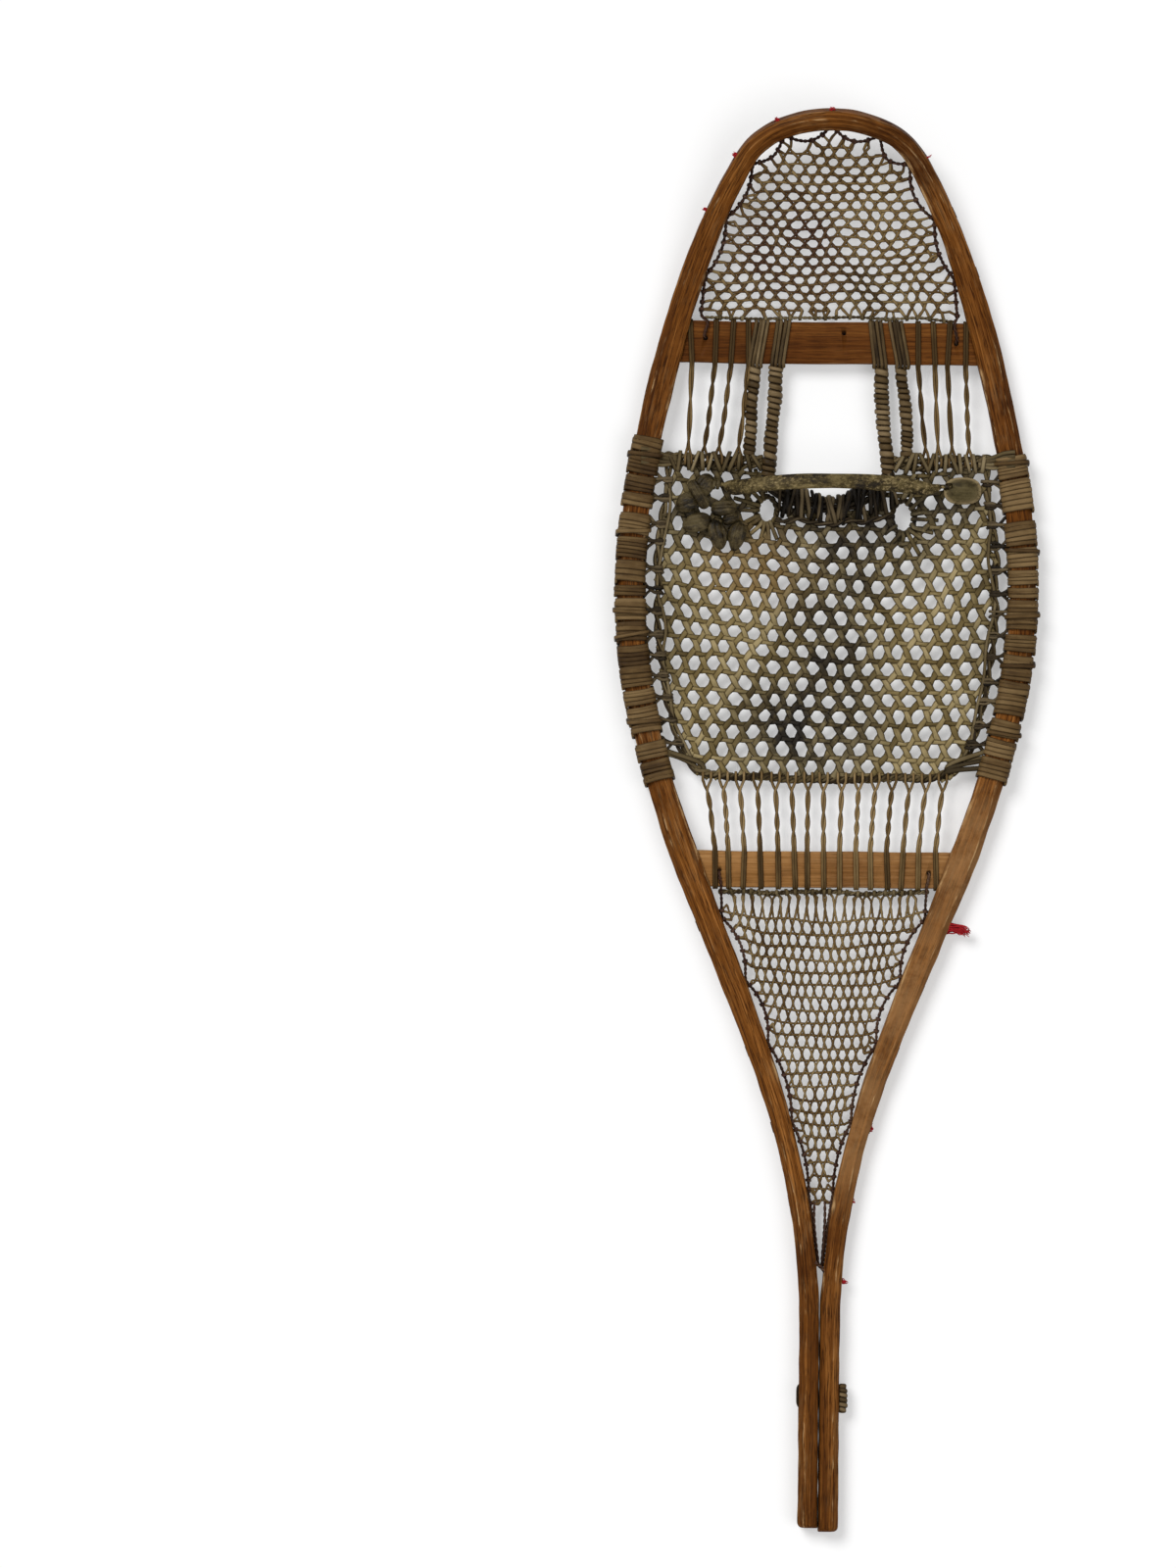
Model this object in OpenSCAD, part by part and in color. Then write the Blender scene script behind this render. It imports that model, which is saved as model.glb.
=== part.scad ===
// Traditional long-tailed snowshoe: one bent ash stave, two crossbars, three rawhide webs,
// the rawhide that ties them together, and the leather toe strap.
// The toe points to +Y, the top faces +Z and the underside of the rawhide wraps is at Z = 0.

/* [Frame] */
// Overall length, toe tip to tail
shoe_len = 1016; // [960:1:1080]
// Width of the bare frame at its widest
shoe_w = 300; // [284:1:320]
// Height of the stave
stave_h = 16; // [15:0.5:20]
// Width of the stave at the toe tip
stave_w_toe = 12.5; // [10:0.5:15]
// Width of the stave between the crossbars
stave_w = 18.5; // [16:0.5:21]
// Width of the stave at the heel crossbar
stave_w_heel = 20; // [17:0.5:22]
// Width of each stave end along the tail
stave_w_tail = 14; // [11:0.5:15]
// Bevel along the stave's long edges
stave_bevel = 3.5; // [1:0.5:5]
// Slit between the two tail ends
tail_gap = 1; // [0.5:0.1:2]
// Distance from the toe tip to where the stave has narrowed to its tail width
tail_from = 740; // [700:1:780]
// Height that the toe tip turns up
toe_rise = 32; // [0:1:45]
// Length of the turned-up toe
toe_rise_len = 170; // [140:1:190]

/* [Crossbars] */
// Thickness of both crossbars
bar_t = 8; // [6:0.5:9]
// Width of the toe crossbar
toe_bar_w = 30; // [24:1:34]
// Distance from the toe tip to the toe crossbar
toe_bar_at = 150; // [142:1:158]
// Width of the heel crossbar
heel_bar_w = 26; // [20:1:30]
// Distance from the toe tip to the heel crossbar
heel_bar_at = 529; // [520:1:540]
// Length of each tenon inside the stave
tenon_l = 11; // [6:0.5:13]
// Thickness of each tenon
tenon_t = 5; // [3:0.5:6]
// Shoulder on each edge of a tenon
tenon_shoulder = 3; // [1:0.5:6]
// Clearance around each tenon
tenon_gap = 0.15; // [0.05:0.05:0.4]
// Diameter of the lanyard holes in the crossbars
bar_hole_d = 4; // [3.5:0.1:6]

/* [Fine lacing] */
// Diameter of the toe and heel lanyards
lanyard_d = 2.2; // [1.6:0.1:3]
// Distance between the two holes of a lanyard stitch
stitch_l = 8; // [6:0.5:10]
// Depth that a lanyard hangs in from the stave between stitches
scallop = 5; // [3:0.5:8]
// Thickness of the toe and heel webs
fine_web_t = 2; // [1.5:0.1:3]
// Width of the strands between the gaps of the toe and heel webs
fine_strand_w = 3.8; // [2:0.1:5]
// Sideways pitch of the gaps in the toe web
toe_pitch_x = 15; // [12:0.5:20]
// Lengthways pitch of the gaps in the toe web
toe_pitch_y = 12; // [10:0.5:16]
// Sideways pitch of the gaps in the heel web
heel_pitch_x = 11.5; // [10:0.5:16]
// Lengthways pitch of the gaps in the heel web
heel_pitch_y = 19; // [15:0.5:24]

/* [Foot lacing] */
// Thickness of the foot web
foot_web_t = 4; // [3:0.5:5]
// Width of the strands between the gaps of the foot web
foot_strand_w = 5; // [3:0.5:7]
// Sideways pitch of the gaps in the foot web
foot_pitch_x = 18; // [16:0.5:24]
// Lengthways pitch of the gaps in the foot web
foot_pitch_y = 15.5; // [14:0.5:20]
// Distance from the toe tip to the front edge cord of the foot web
foot_front_at = 250; // [244:1:256]
// Distance from the toe tip to the toe cord behind the toe hole
toe_cord_at = 284; // [280:1:288]
// Distance from the toe tip to the rear edge cord of the foot web
foot_rear_at = 477; // [470:1:490]
// Diameter of the toe cord
toe_cord_d = 9; // [7:0.5:10]
// Half the length of the toe cord
toe_cord_half = 46; // [44:0.5:48]
// Diameter of the edge cords of the foot web
edge_cord_d = 6; // [4:0.5:7]
// Length of the ties between the wraps and the side edge cords
tie_l = 5; // [3:0.5:8]
// Diameter of those ties
tie_d = 3; // [2:0.5:4]
// Ties on each side
tie_count = 12; // [8:1:14]
// Sideways size of the rounded rear corners of the foot web
corner_x = 14; // [8:1:18]
// Lengthways size of those corners
corner_y = 42; // [30:1:50]
// Diameter of the twisted strands that run over the crossbars
strand_d = 3.2; // [2.4:0.1:3.6]
// Strands between the foot web and the heel crossbar
rear_strand_count = 15; // [11:2:17]
// Strands on each side between the foot web and the toe crossbar
front_strand_count = 4; // [2:1:4]
// Distance from the outer toe hole cords to the nearest of them
front_strand_off = 14.5; // [13:0.5:16]
// Clear distance between the outer strands and the stave at the crossbars
strand_room = 0.6; // [0.4:0.1:3]
// Distance of the inner toe hole cords from the middle at the crossbar
inner_cord_x = 36.5; // [34:0.5:38]
// Distance of the outer toe hole cords from the middle at the crossbar
outer_cord_x = 52.5; // [52:0.5:54]
// Sideways lean of the toe hole cords towards the foot web
toe_cord_lean = 5; // [3:0.5:6]
// Diameter of the inner toe hole cords under their wraps
inner_cord_d = 6.4; // [5:0.2:6.8]
// Diameter of the outer toe hole cords under their wraps
outer_cord_d = 5.2; // [4:0.2:5.6]
// Turns of lace around each toe hole cord
cord_wrap_turns = 12; // [6:1:14]
// Turns of lace around the toe cord
toe_cord_turns = 14; // [8:1:16]

/* [Frame wraps] */
// Distance from the toe tip to where the wraps start
wrap_from = 241; // [236:1:250]
// Distance from the toe tip to where the wraps end
wrap_to = 484; // [470:1:490]
// Bundles of wraps on each side
wrap_count = 12; // [8:1:14]
// Turns in a bundle
wrap_turns = 2; // [1:1:2]
// Thickness of the wraps
wrap_t = 1.8; // [1.2:0.1:2.4]
// Clear distance between neighbouring turns
wrap_space = 0.8; // [0.6:0.1:2]

/* [Toe strap] */
// Distance from the toe tip to the strap
strap_at = 267; // [264:0.5:268]
// Width of the strap
strap_w = 12; // [9:0.5:14]
// Thickness of the strap
strap_t = 2.8; // [2:0.1:4]
// Height of the strap's arch above its pivots
strap_rise = 27; // [22:1:40]
// Lean of the arch towards the toe at rest
strap_lean = 6; // [0:1:12]
// Distance from the middle to where the arch leaves its left pivot
strap_left = 74; // [70:1:78]
// Distance from the middle to where the arch leaves its right pivot
strap_right = 81; // [76:1:84]
// Diameter of the rolled strap ends
pivot_d = 3.2; // [2.6:0.1:4]
// Length of the rolled strap ends
pivot_l = 8; // [6:0.5:10]
// Wall of leather around the rolled strap ends
keeper_wall = 1.5; // [1:0.1:2.5]
// Length of the tab at the right end
tab_l = 28; // [22:1:32]
// Width of the tab
tab_w = 19; // [15:0.5:22]

/* [Tail and tufts] */
// Distance from the toe tip to the tail lashing
lashing_at = 919; // [890:1:940]
// Distance between the two lashing holes
lashing_l = 13; // [9:0.5:18]
// Diameter of the lashing lace
lashing_d = 3; // [2:0.1:4]
// Height of the lashing's knot
knot_h = 4; // [3:0.5:6]
// Diameter of the small wool tufts
tuft_d = 3.6; // [2:0.1:5]
// Length of the small wool tufts
tuft_l = 4.5; // [3:0.5:7]
// Length of the long wool tuft beside the heel web
tuft_long_l = 15; // [8:0.5:20]

/* [Fits] */
// Clearance between laced pieces
lace_gap = 0.3; // [0.2:0.05:0.4]
// Clearance of the rolled strap ends in their keepers
pivot_gap = 0.1; // [0.05:0.05:0.3]

/* [Hidden] */
$fn = 32;
wood = [0.47, 0.28, 0.13];
bar_wood = [0.58, 0.36, 0.19];
rawhide = [0.42, 0.34, 0.21];
dark_rawhide = [0.26, 0.21, 0.15];
leather = [0.36, 0.29, 0.18];
wool = [0.70, 0.05, 0.10];

// Heights and places that follow from the sizes above
toe_y = shoe_len / 2;
stave_z = wrap_t + lace_gap;
web_z = stave_z + stave_h / 2;
web_top = web_z + foot_web_t / 2;
half_w = (shoe_w - stave_w) / 2;
tail_x = (stave_w_tail + tail_gap) / 2;
toe_bar_y = toe_y - toe_bar_at - toe_bar_w / 2;
heel_bar_y = toe_y - heel_bar_at - heel_bar_w / 2;
front_y = toe_y - foot_front_at;
toe_cord_y = toe_y - toe_cord_at;
rear_y = toe_y - foot_rear_at;
strap_y = toe_y - strap_at;
lashing_y = toe_y - lashing_at;
cord_lace = 1.6;
winding_steps = 6;
winding_space = 1;
pivot_z = web_top + lace_gap + keeper_wall + pivot_gap + pivot_d / 2;
foot_net_front = toe_cord_y - wound_r(toe_cord_d) - lace_gap;

// Stave centre line from the toe tip to the tail: across as a share of half the frame's width,
// along as a share of the length
bow_knots = [
    [0, stave_w_toe / 2 / shoe_len], [0.18, 0.0095], [0.34, 0.0195], [0.455, 0.0385], [0.617, 0.085],
    [0.766, 0.146], [0.877, 0.207], [0.961, 0.268], [1, 0.33], [0.972, 0.392], [0.879, 0.453],
    [0.738, 0.514], [0.567, 0.575], [0.387, 0.638], [0.23, 0.7], [0.117, 0.763],
    [tail_x / half_w + 0.006, 0.827], [tail_x / half_w, 0.886], [tail_x / half_w, 1],
];
bow_steps = 3;

// Lanyard stitches: along the stave from the toe tip, and behind the toe tip beside the heel web
toe_stitches = [0, 37, 72, 115, 160];
crotch_at = 0.793 * shoe_len;
function behind_heel_bar(share) = mix(heel_bar_at + heel_bar_w, crotch_at, share);
heel_stitches_at = [for (share = [0.1, 0.28, 0.46, 0.68, 0.89]) behind_heel_bar(share)];
// Where the heel web ends
heel_net_to = behind_heel_bar(0.785);
// Least distance of a gap from the edge of its net
fine_margin = 0.6;
foot_margin = 1;
// Stitches that carry a wool tuft, counted from the toe tip and from the heel crossbar
toe_tufts = [0, -1, -2, -3, 2];
heel_tufts = [3, 4];
heel_long_tuft = 0;
// Leather loops left of the strap: across, behind the toe tip and turn
lacing_loops = [
    [-90, 266, 150], [-95, 275, 150], [-104, 281, 125], [-76, 283, 60],
    [-93, 294, 30], [-78, 300, 75], [-65, 304, 75],
];

function unit(v) = v / norm(v);
function mix(a, b, t) = a + (b - a) * t;
function flip_x(p) = [-p.x, p.y];

// Catmull-Rom curve through b and c
function curve(a, b, c, d, t) =
    ((2 * b) + (c - a) * t + (2 * a - 5 * b + 4 * c - d) * t * t + (3 * b - a - 3 * c + d) * t * t * t) / 2;

knots = [for (k = bow_knots) [k[0] * half_w, toe_y - k[1] * shoe_len]];
spans = len(knots) - 1;
half_path = [
    for (i = [0:spans - 1], j = [0:bow_steps - 1])
        curve(i == 0 ? flip_x(knots[1]) : knots[i - 1], knots[i], knots[i + 1],
              knots[min(i + 2, spans)], j / bow_steps),
    knots[spans],
];
path_s = [
    for (i = 0, s = 0; i < len(half_path);
         i = i + 1, s = i < len(half_path) ? s + norm(half_path[i] - half_path[i - 1]) : s) s
];
x_of_s = [for (i = [0:len(half_path) - 1]) [path_s[i], half_path[i].x]];
y_of_s = [for (i = [0:len(half_path) - 1]) [path_s[i], half_path[i].y]];
s_of_y = [for (i = [0:len(half_path) - 1]) [half_path[i].y, path_s[i]]];
x_of_y = [for (p = half_path) [p.y, p.x]];

// Stave centre and the directions there; s runs along the stave from the toe tip, + to the right
function bow(s) = [sign(s) * lookup(abs(s), x_of_s), lookup(abs(s), y_of_s)];
function at(t) = lookup(toe_y - t, s_of_y);
function rise(y) = y < toe_y - toe_rise_len ? 0 : toe_rise * pow((y - toe_y) / toe_rise_len + 1, 2);
function up_at(y) = unit([0, rise(y - 0.5) - rise(y + 0.5), 1]);
function lift(p) = [p.x, p.y, web_z + rise(p.y)];
function along_at(s) = unit(lift(bow(s + 2)) - lift(bow(s - 2)));
function out_at(s) = unit(cross(up_at(bow(s).y), along_at(s)));
function stave_w_at(y) = lookup(toe_y - y, [
    [0, stave_w_toe], [toe_bar_at, stave_w], [foot_rear_at, stave_w],
    [heel_bar_at, stave_w_heel], [tail_from, stave_w_tail],
]);
function on_stave(s, out) = lift(bow(s)) + out * out_at(s);
function inner_x(y) =
    let (lean = lookup(y + 3, x_of_y) - lookup(y - 3, x_of_y))
    lookup(y, x_of_y) - stave_w_at(y) / 2 * norm([6, lean]) / 6;
function wrap_x(y) = inner_x(y) - wrap_t - lace_gap;

// Strands over the crossbars, and the lanyard holes between the outer two of each row
function outer_strand_x(far_edge) = inner_x(far_edge) - strand_room - strand_d / 2;
front_strand_x = outer_cord_x + front_strand_off;
front_strand_to = outer_strand_x(toe_bar_y + toe_bar_w / 2 + strand_d + lace_gap);
front_strand_step = (front_strand_to - front_strand_x) / (front_strand_count - 1);
toe_bar_hole_x = front_strand_to - front_strand_step / 2;
rear_strand_x = outer_strand_x(heel_bar_y - heel_bar_w / 2 - strand_d - lace_gap);
rear_strand_step = 2 * rear_strand_x / (rear_strand_count - 1);
heel_bar_hole_x = rear_strand_x - rear_strand_step / 2;

// Closed skin over rings of points
module skin(rings) {
    n = len(rings);
    k = len(rings[0]);
    polyhedron(
        points = [for (r = rings) each r],
        faces = concat(
            [for (i = [1:k - 2]) [0, i + 1, i]],
            [for (j = [0:n - 2], i = [0:k - 1])
                let (a = j * k + i, b = j * k + (i + 1) % k) each [[a, b, a + k], [b, b + k, a + k]]],
            [for (i = [1:k - 2]) [(n - 1) * k, (n - 1) * k + i, (n - 1) * k + i + 1]]
        )
    );
}

function round_section(d, sides = 6) = [
    for (i = [0:sides - 1])
        let (a = 360 * i / sides) d / 2 * [cos(a), sin(a)]
];
function flat_section(w, t) = [[w / 2, -t / 2], [w / 2, t / 2], [-w / 2, t / 2], [-w / 2, -t / 2]];
function step_dir(path, i) = unit(path[i + 1] - path[i]);
function heading(path, i) =
    let (last = len(path) - 1)
    unit(step_dir(path, min(i, last - 1)) + step_dir(path, max(i - 1, 0)));
function ring(p, dir, up, section) =
    let (side = unit(cross(dir, up)), top = cross(side, dir))
    [for (q = section) p + q.x * side + q.y * top];

// Sideways directions along a path, carried on from ring to ring without twist
function first_side(d) = unit(cross(d, abs(d.z) < 0.9 ? [0, 0, 1] : [0, 1, 0]));
function carry(v, d) = unit(v - (v * d) * d);
function sides_of(path) = [
    for (i = 0, v = first_side(heading(path, 0)); i < len(path);
         i = i + 1, v = i < len(path) ? carry(v, heading(path, i)) : v) v
];

// Cord along a path, with one section for all its rings or a list with one for each
module cord(path, section) {
    sides = sides_of(path);
    many = is_list(section[0][0]);
    skin([
        for (i = [0:len(path) - 1])
            ring(path[i], heading(path, i), cross(sides[i], heading(path, i)), many ? section[i] : section)
    ]);
}

// Flat lace wound along a path, with the direction of its outer face and of its width at each point
module lace(path, outs, widths, w, t) {
    skin([
        for (i = [0:len(path) - 1])
            [for (q = flat_section(w, t)) path[i] + q.x * widths[i] + q.y * outs[i]]
    ]);
}

module aim(p, dir) {
    translate(p)
        rotate([0, acos(dir.z), atan2(dir.y, dir.x)])
            children();
}

// Flat net: an outline with a six-sided gap of w by h around each centre
module net(outline, t, centres, w, h) {
    linear_extrude(t, center = true)
        difference() {
            polygon(outline);
            for (c = centres)
                translate(c)
                    polygon([
                        [w / 2, 0], [w / 3.4, h / 2], [-w / 3.4, h / 2],
                        [-w / 2, 0], [-w / 3.4, -h / 2], [w / 3.4, -h / 2],
                    ]);
        }
}

// Centres of the gaps in rows that step sideways by half a pitch, inside from(y) to to(y)
function net_centres(front, rear, pitch_x, pitch_y, from, to) =
    let (rows = floor((front - rear) / pitch_y))
    [
        for (j = [0:rows - 1])
            let (y = mix(front, rear, (j + 0.5) / rows), lo = from(y), hi = to(y))
                for (i = [floor(lo / pitch_x):ceil(hi / pitch_x)])
                    let (x = (i + j % 2 / 2) * pitch_x)
                        if (x - pitch_x / 2 > lo && x + pitch_x / 2 < hi) [x, y]
    ];

function both_sides(edge) = concat(edge, [for (i = [len(edge) - 1:-1:0]) flip_x(edge[i])]);

// Wooden pieces

function stave_section(w, h, b) = [
    [w / 2 - b, -h / 2], [w / 2, b - h / 2], [w / 2, h / 2 - b], [w / 2 - b, h / 2],
    [b - w / 2, h / 2], [-w / 2, h / 2 - b], [-w / 2, b - h / 2], [b - w / 2, -h / 2],
];

module stave() {
    last = len(half_path) - 1;
    skin([
        for (i = [-last:last])
            let (s = sign(i) * path_s[abs(i)], y = bow(s).y)
                ring(lift(bow(s)), along_at(s), up_at(y), stave_section(stave_w_at(y), stave_h, stave_bevel))
    ]);
}

stitch_places = concat(
    [for (s = toe_stitches) each s == 0 ? [0] : [-s, s]],
    [for (t = heel_stitches_at) each [-at(t), at(t)]]
);

// Two holes through the stave and the groove between them on its outer face
module stitch_cut(s) {
    d = lanyard_d + 2 * lace_gap;
    w = stave_w_at(bow(s).y);
    for (side = [-1, 1])
        aim(on_stave(s, 0) + side * stitch_l / 2 * along_at(s), out_at(s))
            cylinder(d = d, h = 2 * w, center = true);
    aim(on_stave(s, w / 2), along_at(s))
        cube([2 * d, 2 * d, stitch_l], center = true);
}

module frame() {
    color(wood)
        difference() {
            stave();
            tenons(toe_bar_y, toe_bar_w, tenon_gap);
            tenons(heel_bar_y, heel_bar_w, tenon_gap);
            for (s = stitch_places)
                stitch_cut(s);
            for (side = [-1, 1])
                translate([0, lashing_y + side * lashing_l / 2, web_z])
                    rotate([0, 90, 0])
                        cylinder(d = lashing_d + 2 * lace_gap, h = 6 * tail_x, center = true);
        }
}

// Tenons at both ends of a crossbar, in one piece through the bar
module tenons(y, w, grow) {
    reach = lookup(y, x_of_y) - stave_w_at(y) / 2 + tenon_l;
    translate([0, y, web_z])
        cube([2 * (reach + grow), w - 2 * tenon_shoulder + 2 * grow, tenon_t + 2 * grow], center = true);
}

module crossbar(y, w, holes) {
    front = inner_x(y + w / 2) - lace_gap;
    rear = inner_x(y - w / 2) - lace_gap;
    color(bar_wood)
        difference() {
            union() {
                translate([0, y, web_z])
                    linear_extrude(bar_t, center = true)
                        polygon([[-rear, -w / 2], [rear, -w / 2], [front, w / 2], [-front, w / 2]]);
                tenons(y, w, 0);
            }
            for (x = holes)
                translate([x, y, web_z])
                    cylinder(d = bar_hole_d, h = 2 * bar_t, center = true);
        }
}

module toe_crossbar() {
    crossbar(toe_bar_y, toe_bar_w, [-toe_bar_hole_x, 0, toe_bar_hole_x]);
}

module heel_crossbar() {
    crossbar(heel_bar_y, heel_bar_w, [-heel_bar_hole_x, heel_bar_hole_x]);
}

// Toe and heel lanyards

// Lanyard through the two holes of one stitch, from the inside and back
function stitch(s) =
    let (w = stave_w_at(bow(s).y), step = stitch_l / 2 * along_at(s), r = lanyard_d / 2)
    [
        on_stave(s, -w / 2 - r) - step, on_stave(s, 0) - step, on_stave(s, w / 2 - 2.2 * r) - step,
        on_stave(s, w / 2 - r) - 0.6 * step, on_stave(s, w / 2 - r) + 0.6 * step,
        on_stave(s, w / 2 - 2.2 * r) + step, on_stave(s, 0) + step, on_stave(s, -w / 2 - r) + step,
    ];

// Hanging stretch between the stitches at s and at next
function swag(s, next) =
    let (a = stitch(s)[7], b = stitch(next)[0])
    [for (t = [0.25, 0.5, 0.75]) mix(a, b, t) - scallop * 4 * t * (1 - t) * out_at(mix(s, next, t))];

function stitched(list) = [
    for (i = [0:len(list) - 1])
        each concat(stitch(list[i]), i < len(list) - 1 ? swag(list[i], list[i + 1]) : [])
];

// From the web over a crossbar's edge and down its hole; front is +1 where the web lies in front of the bar
function into_bar(x, y, w, front) =
    let (top = web_z + bar_t / 2, r = lanyard_d / 2)
    [
        [x, y + front * (w / 2 + 5), top], [x, y + front * (w / 2 - 1), top + r + 2 * lace_gap],
        [x, y + front * 2.4 * r, top + r + 2 * lace_gap], [x, y + front * 0.5 * r, top + 0.5 * r],
        [x, y, top - r], [x, y, web_z - bar_t / 2],
    ];
function back_to_front(list) = [for (i = [len(list) - 1:-1:0]) list[i]];

module toe_lanyard() {
    ends = concat([for (i = [len(toe_stitches) - 1:-1:1]) -toe_stitches[i]], toe_stitches);
    color(dark_rawhide)
        cord(concat(
            back_to_front(into_bar(-toe_bar_hole_x, toe_bar_y, toe_bar_w, 1)),
            stitched(ends),
            into_bar(toe_bar_hole_x, toe_bar_y, toe_bar_w, 1)
        ), round_section(lanyard_d));
}

module heel_lanyard() {
    ends = [for (t = heel_stitches_at) at(t)];
    turn = [lanyard_d * 0.8, toe_y - crotch_at, web_z];
    color(dark_rawhide)
        cord(concat(
            back_to_front(into_bar(heel_bar_hole_x, heel_bar_y, heel_bar_w, -1)),
            stitched(ends),
            [turn, [0, turn.y - lanyard_d, web_z], [-turn.x, turn.y, web_z]],
            stitched(-back_to_front(ends)),
            into_bar(-heel_bar_hole_x, heel_bar_y, heel_bar_w, -1)
        ), round_section(lanyard_d));
}

// Cords along the crossbars that the toe and heel webs hang from
cord_off = strand_d + 2 * lace_gap + lanyard_d / 2;
toe_bar_cord_y = toe_bar_y + toe_bar_w / 2 + cord_off;
heel_bar_cord_y = heel_bar_y - heel_bar_w / 2 - cord_off;

module bar_cord(y) {
    color(dark_rawhide)
        translate([0, y, web_z + rise(y)])
            rotate([0, 90, 0])
                cylinder(d = lanyard_d, h = 2 * (inner_x(y) - scallop - 2 * lanyard_d), center = true);
}

module toe_bar_cord() {
    bar_cord(toe_bar_cord_y);
}

module heel_bar_cord() {
    bar_cord(heel_bar_cord_y);
}

// Toe and heel webs

fine_inset = scallop + 1.8 * lanyard_d + lace_gap;
toe_net_y = [toe_bar_cord_y + lanyard_d / 2 + lace_gap, toe_y - stave_w_toe - fine_inset - lanyard_d];
toe_net_rise = [rise(toe_net_y[0]), rise(toe_net_y[1])];
toe_tilt = atan((toe_net_rise[1] - toe_net_rise[0]) / (toe_net_y[1] - toe_net_y[0]));
function toe_net_edge(s) =
    let (p = on_stave(s, -stave_w_at(bow(s).y) / 2 - fine_inset))
    [p.x, (p.y - toe_net_y[0]) / cos(toe_tilt)];
heel_net_y = [heel_bar_cord_y - lanyard_d / 2 - lace_gap, toe_y - heel_net_to];
edge_steps = 12;

module toe_web() {
    start = at(toe_y - toe_net_y[0]);
    edge = concat(
        [[inner_x(toe_net_y[0]) - fine_inset, 0]],
        [for (i = [1:edge_steps]) toe_net_edge(mix(start, stitch_l, i / edge_steps))]
    );
    xs = [for (p = edge) [p.y, p.x]];
    centres = net_centres(edge[edge_steps].y, 0, toe_pitch_x, toe_pitch_y,
                          function(v) fine_margin - lookup(v, xs), function(v) lookup(v, xs) - fine_margin);
    color(rawhide)
        translate([0, toe_net_y[0], web_z + toe_net_rise[0]])
            rotate([toe_tilt, 0, 0])
                net(both_sides(edge), fine_web_t, centres,
                    toe_pitch_x - fine_strand_w, toe_pitch_y - fine_strand_w);
}

module heel_web() {
    function half(y) = inner_x(y) - fine_inset;
    ys = [for (i = [0:edge_steps]) mix(heel_net_y[0], heel_net_y[1], i / edge_steps)];
    centres = net_centres(heel_net_y[0], heel_net_y[1], heel_pitch_x, heel_pitch_y,
                          function(y) fine_margin - half(y), function(y) half(y) - fine_margin);
    color(rawhide)
        translate([0, 0, web_z])
            net(both_sides([for (y = ys) [half(y), y]]), fine_web_t, centres,
                heel_pitch_x - fine_strand_w, heel_pitch_y - fine_strand_w);
}

// Foot web and its edge cords

// Right side edge cord: down the side and around the rear corner
side_from = front_y - edge_cord_d - 2 * lace_gap;
corner_from = rear_y + corner_y;
side_steps = 6;
corner_steps = 6;
function side_point(y) = [wrap_x(y) - tie_l - edge_cord_d / 2, y];
function corner_point(a) = side_point(rear_y + corner_y * (1 - sin(a))) - [corner_x * (1 - cos(a)), 0];
function side_run(from) = concat(
    [for (i = [0:side_steps - 1]) side_point(mix(from, corner_from, i / side_steps))],
    [for (i = [0:corner_steps]) corner_point(90 * i / corner_steps)]
);
function inward(path, i) = let (d = heading(path, i)) [d.y, -d.x];
web_inset = edge_cord_d / 2 + lace_gap;
panel_from = front_y - web_inset;
panel_in = inner_cord_x + toe_cord_lean + wound_r(inner_cord_d) + 3 * lace_gap;
function web_half(y) = side_point(y).x - web_inset;

module foot_web() {
    run = side_run(foot_net_front);
    edge = concat([[web_half(foot_net_front), foot_net_front]],
                  [for (i = [1:len(run) - 1]) run[i] + web_inset * inward(run, i)]);
    function limit(y) = web_half(y) - (y < corner_from ? corner_x / 2 : 0) - foot_margin;
    centres = net_centres(foot_net_front - foot_margin, rear_y + web_inset + foot_margin,
                          foot_pitch_x, foot_pitch_y, function(y) -limit(y), function(y) limit(y));
    color(rawhide)
        translate([0, 0, web_z])
            net(both_sides(edge), foot_web_t, centres,
                foot_pitch_x - foot_strand_w, foot_pitch_y - foot_strand_w);
}

module web_panel() {
    ys = [for (i = [0:3]) mix(panel_from, foot_net_front, i / 3)];
    edge = [for (y = ys) [web_half(y), y]];
    centres = net_centres(panel_from, foot_net_front, foot_pitch_x, foot_pitch_y,
                          function(y) panel_in, function(y) web_half(y) - foot_margin);
    color(rawhide)
        translate([0, 0, web_z])
            net(concat([[panel_in, panel_from]], edge, [[panel_in, foot_net_front]]), foot_web_t, centres,
                foot_pitch_x - foot_strand_w, foot_pitch_y - foot_strand_w);
}

module foot_web_front_right() {
    web_panel();
}

module foot_web_front_left() {
    mirror([1, 0, 0])
        web_panel();
}

module front_edge_cord_right() {
    color(dark_rawhide)
        translate([panel_in, front_y, web_z])
            rotate([0, 90, 0])
                cylinder(d = edge_cord_d, h = wrap_x(front_y) - 2 * lace_gap - panel_in);
}

module front_edge_cord_left() {
    mirror([1, 0, 0])
        front_edge_cord_right();
}

module side_edge_cord_right() {
    color(rawhide)
        cord([for (p = side_run(side_from)) [p.x, p.y, web_z]], round_section(edge_cord_d, 8));
}

module side_edge_cord_left() {
    mirror([1, 0, 0])
        side_edge_cord_right();
}

module rear_edge_cord() {
    color(rawhide)
        translate([0, rear_y, web_z])
            rotate([0, 90, 0])
                cylinder(d = edge_cord_d, h = 2 * (corner_point(90).x - edge_cord_d / 4 - lace_gap), center = true);
}

// Short ties between the wraps and the side edge cord
module edge_ties_right() {
    color(rawhide)
        for (i = [0:tie_count - 1])
            let (y = mix(side_from - tie_d, corner_from + tie_d, i / (tie_count - 1)))
                translate([wrap_x(y) - tie_l + lace_gap, y, web_z])
                    rotate([0, 90, 0])
                        cylinder(d = tie_d, h = tie_l - 3 * lace_gap);
}

module edge_ties_left() {
    mirror([1, 0, 0])
        edge_ties_right();
}

// Cords over the crossbars

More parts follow.
